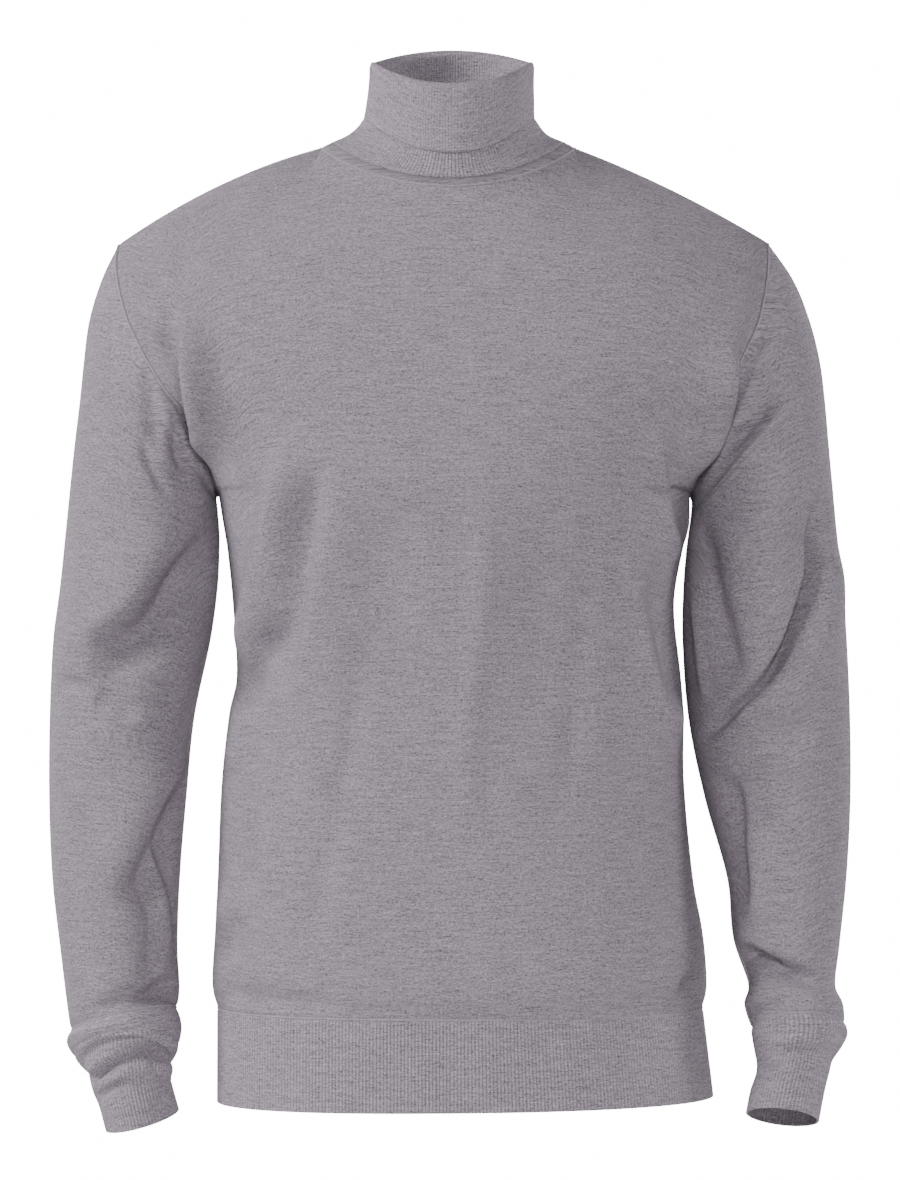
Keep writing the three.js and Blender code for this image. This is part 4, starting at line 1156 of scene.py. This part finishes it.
@dataclass(kw_only=True)
class NeckBand(KnitPiece):
    """The narrow plain band that is linked between the neckline and the collar."""

    node: str = "neck_band"
    rests_on: Sequence[str] = ("front", "back")
    flat: tuple[float, float] = (0.47, 0.01)
    area: float | None = 0.0036
    held: str = "stretched"
    proud: float = 0.7
    points: int = 240
    rows: int = 9

    def build(self) -> None:
        """Makes the band as a padded ring."""
        angle = np.linspace(0, TURN, self.points + 1)[:-1]
        lines = []
        for t in np.linspace(0, 1, self.rows):
            row = between_rows(NECKLINE, STAND[0], t)
            out = self.proud * math.sin(math.pi * t)
            lines.append(neck_points(row, angle) + neck_outward(row, angle) * out)
        grid = np.stack(lines)
        normals = np.stack([neck_outward(STAND[0], angle)] * self.rows)
        self.cloth = Cloth(self.name, grid, normals, True)
        self.piece = self.cloth.make(self.cloth.level_map(0))


@dataclass(kw_only=True)
class Collar(KnitPiece):
    """The ribbed tube that stands up round the neck and is turned down over itself.

    The tuck is how far the front of the turned-down layer lies closer to the stand at its lower
    edge, and the turned share is the share of the ribs' height, and of their painted groove
    shade, there.
    """

    node: str = "collar"
    rests_on: Sequence[str] = ("neck_band",)
    flat: tuple[float, float] = (0.40, 0.112)
    held: str = "folded"
    slot: str = "rib"
    pitch: float = 2.2
    height: float = 0.6
    crown: float = 3.4
    tuck: float = 2.0
    turned_share: float = 0.55
    groove_up: float = 7.0  # how far a faint groove runs above the lower edge
    groove_width: float = 1.2
    groove_share: float = 0.3  # its depth as a share of the ribs' height

    def profile(self) -> list[tuple[Row, float, float, float]]:
        """The wall's rings in order: row, distance out, distance up and the share of rib height and of
        painted groove shade.
        """

        def rings(rows: list[Row], count: int, out: float, ribbed: float) -> list:
            """Rings along a curve through the rows."""
            knots = np.linspace(0, 1, len(rows))
            values = np.array([[getattr(row, k) for k in COLLAR.split()] for row in rows], float)
            at = np.linspace(0, 1, count)
            curve = through(knots, values[:, :, None], at)[..., 0]
            return [(Row(**dict(zip(COLLAR.split(), line))), out, 0.0, ribbed) for line in curve]

        up_stand = rings(STAND, 18, 0, 1)
        down_turned = rings(TURNED[::-1], 12, -WALL, 0)
        up_turned = rings(TURNED, 20, 0, self.turned_share)
        cap = [
            (between_rows(TURNED[-1], STAND[-1], t), -WALL * t,
             self.crown * math.sin(math.pi * t) + 0.6 * t, self.turned_share)
            for t in (0.12, 0.3, 0.5, 0.7, 0.88)
        ]
        down_stand = rings(STAND[::-1], 18, -WALL, -1)
        return up_stand + down_turned + up_turned[:-1] + cap + down_stand

    def build(self) -> None:
        """Makes the collar as one closed ribbed wall."""
        fine = np.linspace(0, TURN, 721)
        angle = rib_angles(neck_points(TURNED[0], fine), fine, self.pitch)[:-1]
        wave = rib_wave(len(angle))
        at_front = soft(np.cos(angle), -0.2, 0.9)
        lines = []
        for row, out, up, ribbed in self.profile():
            raised = wave if ribbed >= 0 else wave - 1
            low = soft(TURNED[1].front_z - row.front_z, 0, 12) * (row.right > 59 and row.side_z > 20)
            up_front = row.front_z - TURNED[0].front_z - self.groove_up
            groove = self.groove_share * self.height * bell(up_front, self.groove_width)
            shift = out + self.height * abs(ribbed) * raised
            if row.side_z >= TURNED[0].side_z - 0.5:
                shift = shift - self.tuck * at_front * low - groove * abs(ribbed)
            line = neck_points(row, angle) + neck_outward(row, angle) * shift[:, None]
            line[:, 2] += up
            lines.append(line)
        grid = np.stack(lines)
        self.piece = grid_object(self.name, grid, True, rib_map(grid, True, self.pitch))
        shares = np.array([abs(ribbed) for _, _, _, ribbed in self.profile()])
        mark_ribs(self.piece, np.broadcast_to(shares[:, None], grid.shape[:2]))


@dataclass
class LinkedSeam:
    """Rows of small linked stitches that lie in the grooves of seams."""

    name: str
    slot: str
    lines: list[Array]
    radius: float = 0.85
    pitch: float = 2.6
    steps: int = 4
    sides: int = 6
    piece: bpy.types.Object | None = None

    def tube(self, line: Array) -> tuple[Array, Array]:
        """The rings of one row of stitches, and how far along it each ring lies."""
        run = np.concatenate([[0], np.cumsum(np.linalg.norm(np.diff(line[:, :3], axis=0), axis=1))])
        stitches = max(2, round(run[-1] / self.pitch))
        at = np.linspace(0, run[-1], stitches * self.steps + 1)
        centre, normal = (
            np.stack([np.interp(at, run, line[:, n]) for n in columns], -1)
            for columns in ((0, 1, 2), (3, 4, 5))
        )
        across = unit(np.cross(unit(np.gradient(centre, axis=0)), normal))
        loop = np.abs(np.sin(np.arange(len(at)) * math.pi / self.steps))
        radius = (self.radius * (0.8 + 0.2 * loop))[:, None, None]
        angle = (np.arange(self.sides) * TURN / self.sides)[None, :, None]
        around = across[:, None] * np.cos(angle) + unit(normal)[:, None] * np.sin(angle)
        return centre[:, None] + radius * around, at

    def build(self) -> None:
        """Makes all the rows as one piece of closed tubes."""
        points, faces, along = [], [], []
        count = 0
        for line in self.lines:
            rings, at = self.tube(line)
            first = count + np.arange(len(at) - 1)[:, None] * self.sides
            j = np.arange(self.sides)[None, :]
            after = (j + 1) % self.sides
            second = first + self.sides
            quads = np.stack([first + j, second + j, second + after, first + after], -1)
            faces += quads.reshape(-1, 4).tolist()
            last = count + (len(at) - 1) * self.sides
            faces += [list(range(count, count + self.sides)), list(range(last, last + self.sides))[::-1]]
            points.append(rings.reshape(-1, 3))
            along.append(np.repeat(at, self.sides))
            count += rings.shape[0] * self.sides
        mesh = bpy.data.meshes.new(self.name)
        mesh.from_pydata((np.concatenate(points) * MM).tolist(), [], faces)
        mesh.polygons.foreach_set("use_smooth", np.ones(len(faces), bool))
        corner = np.zeros(len(mesh.loops), np.int32)
        mesh.loops.foreach_get("vertex_index", corner)
        run = np.concatenate(along)[corner] * MM
        turn = (corner % self.sides) * self.radius * MM
        mesh.uv_layers.new(name=UV_MAP).data.foreach_set("uv", np.stack([run, turn], -1).ravel())
        self.piece = add_object(self.name, mesh)

    def dress(self, material: bpy.types.Material) -> None:
        """Gives the stitches their yarn and their body."""
        self.piece.data.materials.append(material)
        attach(self.piece, "root")


@dataclass
class Softbox:
    """A soft light that looks at a point."""

    name: str
    place: tuple[float, float, float]
    size: tuple[float, float]
    power: float
    aim: tuple[float, float, float] = (0, 0, -0.3)

    def build(self) -> None:
        """Makes the light."""
        light = bpy.data.lights.new(self.name, "AREA")
        light.shape = "RECTANGLE"
        light.size, light.size_y = self.size
        light.energy = self.power
        obj = add_object(self.name, light)
        obj.location = self.place
        toward = Vector(self.aim) - Vector(self.place)
        obj.rotation_euler = toward.to_track_quat("-Z", "Y").to_euler()


@dataclass
class Studio:
    """The camera, the lights, the white surround and a pale floor."""

    distance: float = 3.6
    view_height: float = 1180 * 0.72 * MM
    centre: tuple[float, float] = (-1.44 * MM, -317 * MM)
    floor_z: float = -0.95
    floor_radius: float = 1.0
    surround: float = 0.015
    backdrop: float = 16.0
    softboxes: list[Softbox] = field(default_factory=lambda: [
        Softbox("softbox_left", (-2.3, -0.9, 0.95), (1.3, 1.0), 88),
        Softbox("softbox_right", (3.1, -0.6, 0.5), (0.8, 1.4), 44),
        Softbox("softbox_front", (0.1, -3.6, 0.6), (0.5, 0.5), 62),
        Softbox("softbox_low", (0.6, -3.2, -0.85), (0.4, 0.2), 17),
        Softbox("softbox_back_left", (-1.9, 2.5, 0.5), (1.0, 1.6), 70),
        Softbox("softbox_back_right", (1.9, 2.5, 0.5), (1.0, 1.6), 70),
    ])

    def build(self) -> None:
        """Sets the camera first, then the light, the surround and the floor."""
        camera = bpy.data.cameras.new("camera")
        camera.sensor_width = 36
        camera.lens = camera.sensor_width * self.distance / self.view_height
        eye = add_object("camera", camera)
        eye.location = (self.centre[0], -self.distance, self.centre[1])
        eye.rotation_euler = (math.pi / 2, 0, 0)
        bpy.context.scene.camera = eye
        for softbox in self.softboxes:
            softbox.build()
        self.light_surround()
        self.lay_floor()

    def light_surround(self) -> None:
        """A white world: even light, and a clean white behind the object for the camera."""
        world = bpy.data.worlds.new("surround")
        world.use_nodes = True
        make = NodeMaker(world.node_tree)
        seen = make.add("ShaderNodeLightPath").outputs["Is Camera Ray"]
        extra = make.math("MULTIPLY", seen, self.backdrop - self.surround)
        strength = make.math("ADD", extra, self.surround)
        world.node_tree.links.new(strength, world.node_tree.nodes["Background"].inputs["Strength"])
        world.node_tree.nodes["Background"].inputs["Color"].default_value = (1, 1, 1, 1)
        bpy.context.scene.world = world

    def lay_floor(self) -> None:
        """A pale round floor, below the camera's view, that throws light up."""
        sides = 96
        turns = [TURN * k / sides for k in range(sides)]
        ring = [
            (self.floor_radius * math.cos(a), self.floor_radius * math.sin(a), self.floor_z)
            for a in turns
        ]
        mesh = bpy.data.meshes.new("floor")
        mesh.from_pydata(ring, [], [range(sides)])
        floor = add_object("floor", mesh)
        material = bpy.data.materials.new("pale_floor")
        material.use_nodes = True
        shader = material.node_tree.nodes["Principled BSDF"]
        make = NodeMaker(material.node_tree)
        place = make.add("ShaderNodeTexCoord").outputs["Object"]
        grain = make.noise(place, (40, 40), 2)
        tone = make.add("ShaderNodeMapRange", {"Value": grain, "To Min": 0.7, "To Max": 0.76})
        material.node_tree.links.new(tone.outputs[0], shader.inputs["Base Color"])
        shader.inputs["Roughness"].default_value = 0.7
        mesh.materials.append(material)


def sew_seams(
    front: BodyPanel, sleeves: list[Sleeve], band: NeckBand, cuffs: list[Cuff], hems: list[HemBand],
) -> list[LinkedSeam]:
    """The linked seams of the body, the neck and each arm, in that order."""
    outer = front.u >= NECK_SHARE
    body = [front.cloth.edge_line(-1, outer), front.cloth.edge_line(-1, outer[::-1])]
    below = front.at < ARMPIT_AT
    body += [front.cloth.edge_line(below, column) for column in (0, -1)]
    body += [hem.cloth.edge_line(-1, slice(None)) for hem in hems]
    neck = [band.cloth.edge_line(0, slice(None), True)]
    seams = [LinkedSeam("stitches_body", "jersey", body), LinkedSeam("stitches_neck", "jersey", neck)]
    for sleeve, cuff in zip(sleeves, cuffs):
        lines = [
            sleeve.cloth.edge_line(0, slice(None), True), sleeve.cloth.edge_line(slice(2, -2), 0),
            cuff.cloth.edge_line(0, slice(None), True),
        ]
        seams.append(LinkedSeam(f"stitches_{sleeve.side.label}_arm", "jersey", lines))
    return seams


def join_panels(front: BodyPanel, back: BodyPanel) -> None:
    """Makes the two panels' rims share their directions at the shoulders and the sides."""
    shoulder = np.abs(front.u) >= NECK_SHARE
    shared = unit(front.cloth.normals[-1] + back.cloth.normals[-1])
    for panel in (front, back):
        panel.cloth.normals[-1, shoulder] = shared[shoulder]
        below = panel.at < ARMPIT_AT
        panel.cloth.normals[below, 0] = (-1, 0, 0)
        panel.cloth.normals[below, -1] = (1, 0, 0)


def main() -> None:
    """Builds the sweater piece by piece."""
    logging.basicConfig(level=logging.INFO, format="%(message)s")
    bpy.ops.object.select_all(action="DESELECT")
    Studio().build()
    jersey = JERSEY.material()

    front, back = (BodyPanel(node=face.label, face=face) for face in Face)
    sleeves = [Sleeve(node=f"sleeve_{side.label}", side=side) for side in Side]
    for panel in (front, back):
        panel.shape()
    for sleeve in sleeves:
        sleeve.shape(front, back)
    for sleeve in sleeves:
        sleeve.join(front, back)
    join_panels(front, back)
    for part in (front, back, *sleeves):
        part.sew()
        part.build()
    band = NeckBand()
    band.build()
    cuffs = [
        Cuff(node=f"cuff_{side.label}", side=side, rests_on=[f"sleeve_{side.label}"], rib_start=start)
        for side, start in ((Side.RIGHT, 0.23), (Side.LEFT, 0.0))
    ]
    hems = [HemBand(node=f"hem_{face.label}", face=face, rests_on=[face.label]) for face in Face]
    ribbed = [*cuffs, *hems, Collar()]
    for part in ribbed:
        part.build()

    seams = sew_seams(front, sleeves, band, cuffs, hems)
    yarn = YARN.material()
    for seam in seams:
        seam.build()
        seam.dress(yarn)
    body_seam, neck_seam, *arm_seams = (seam.piece for seam in seams)
    front.dress(jersey, [body_seam])
    back.dress(jersey)
    for sleeve, seam in zip(sleeves, arm_seams):
        sleeve.dress(jersey, [seam])
    band.dress(jersey, [neck_seam])
    for part in ribbed:
        part.dress(rib_finish(f"rib_{part.piece.name}", part.pitch).material())
    for part in (front, back, *sleeves, band, *ribbed, *seams):
        log.info("%s: %d faces", part.piece.name, len(part.piece.data.polygons))


if __name__ == "__main__":
    main()
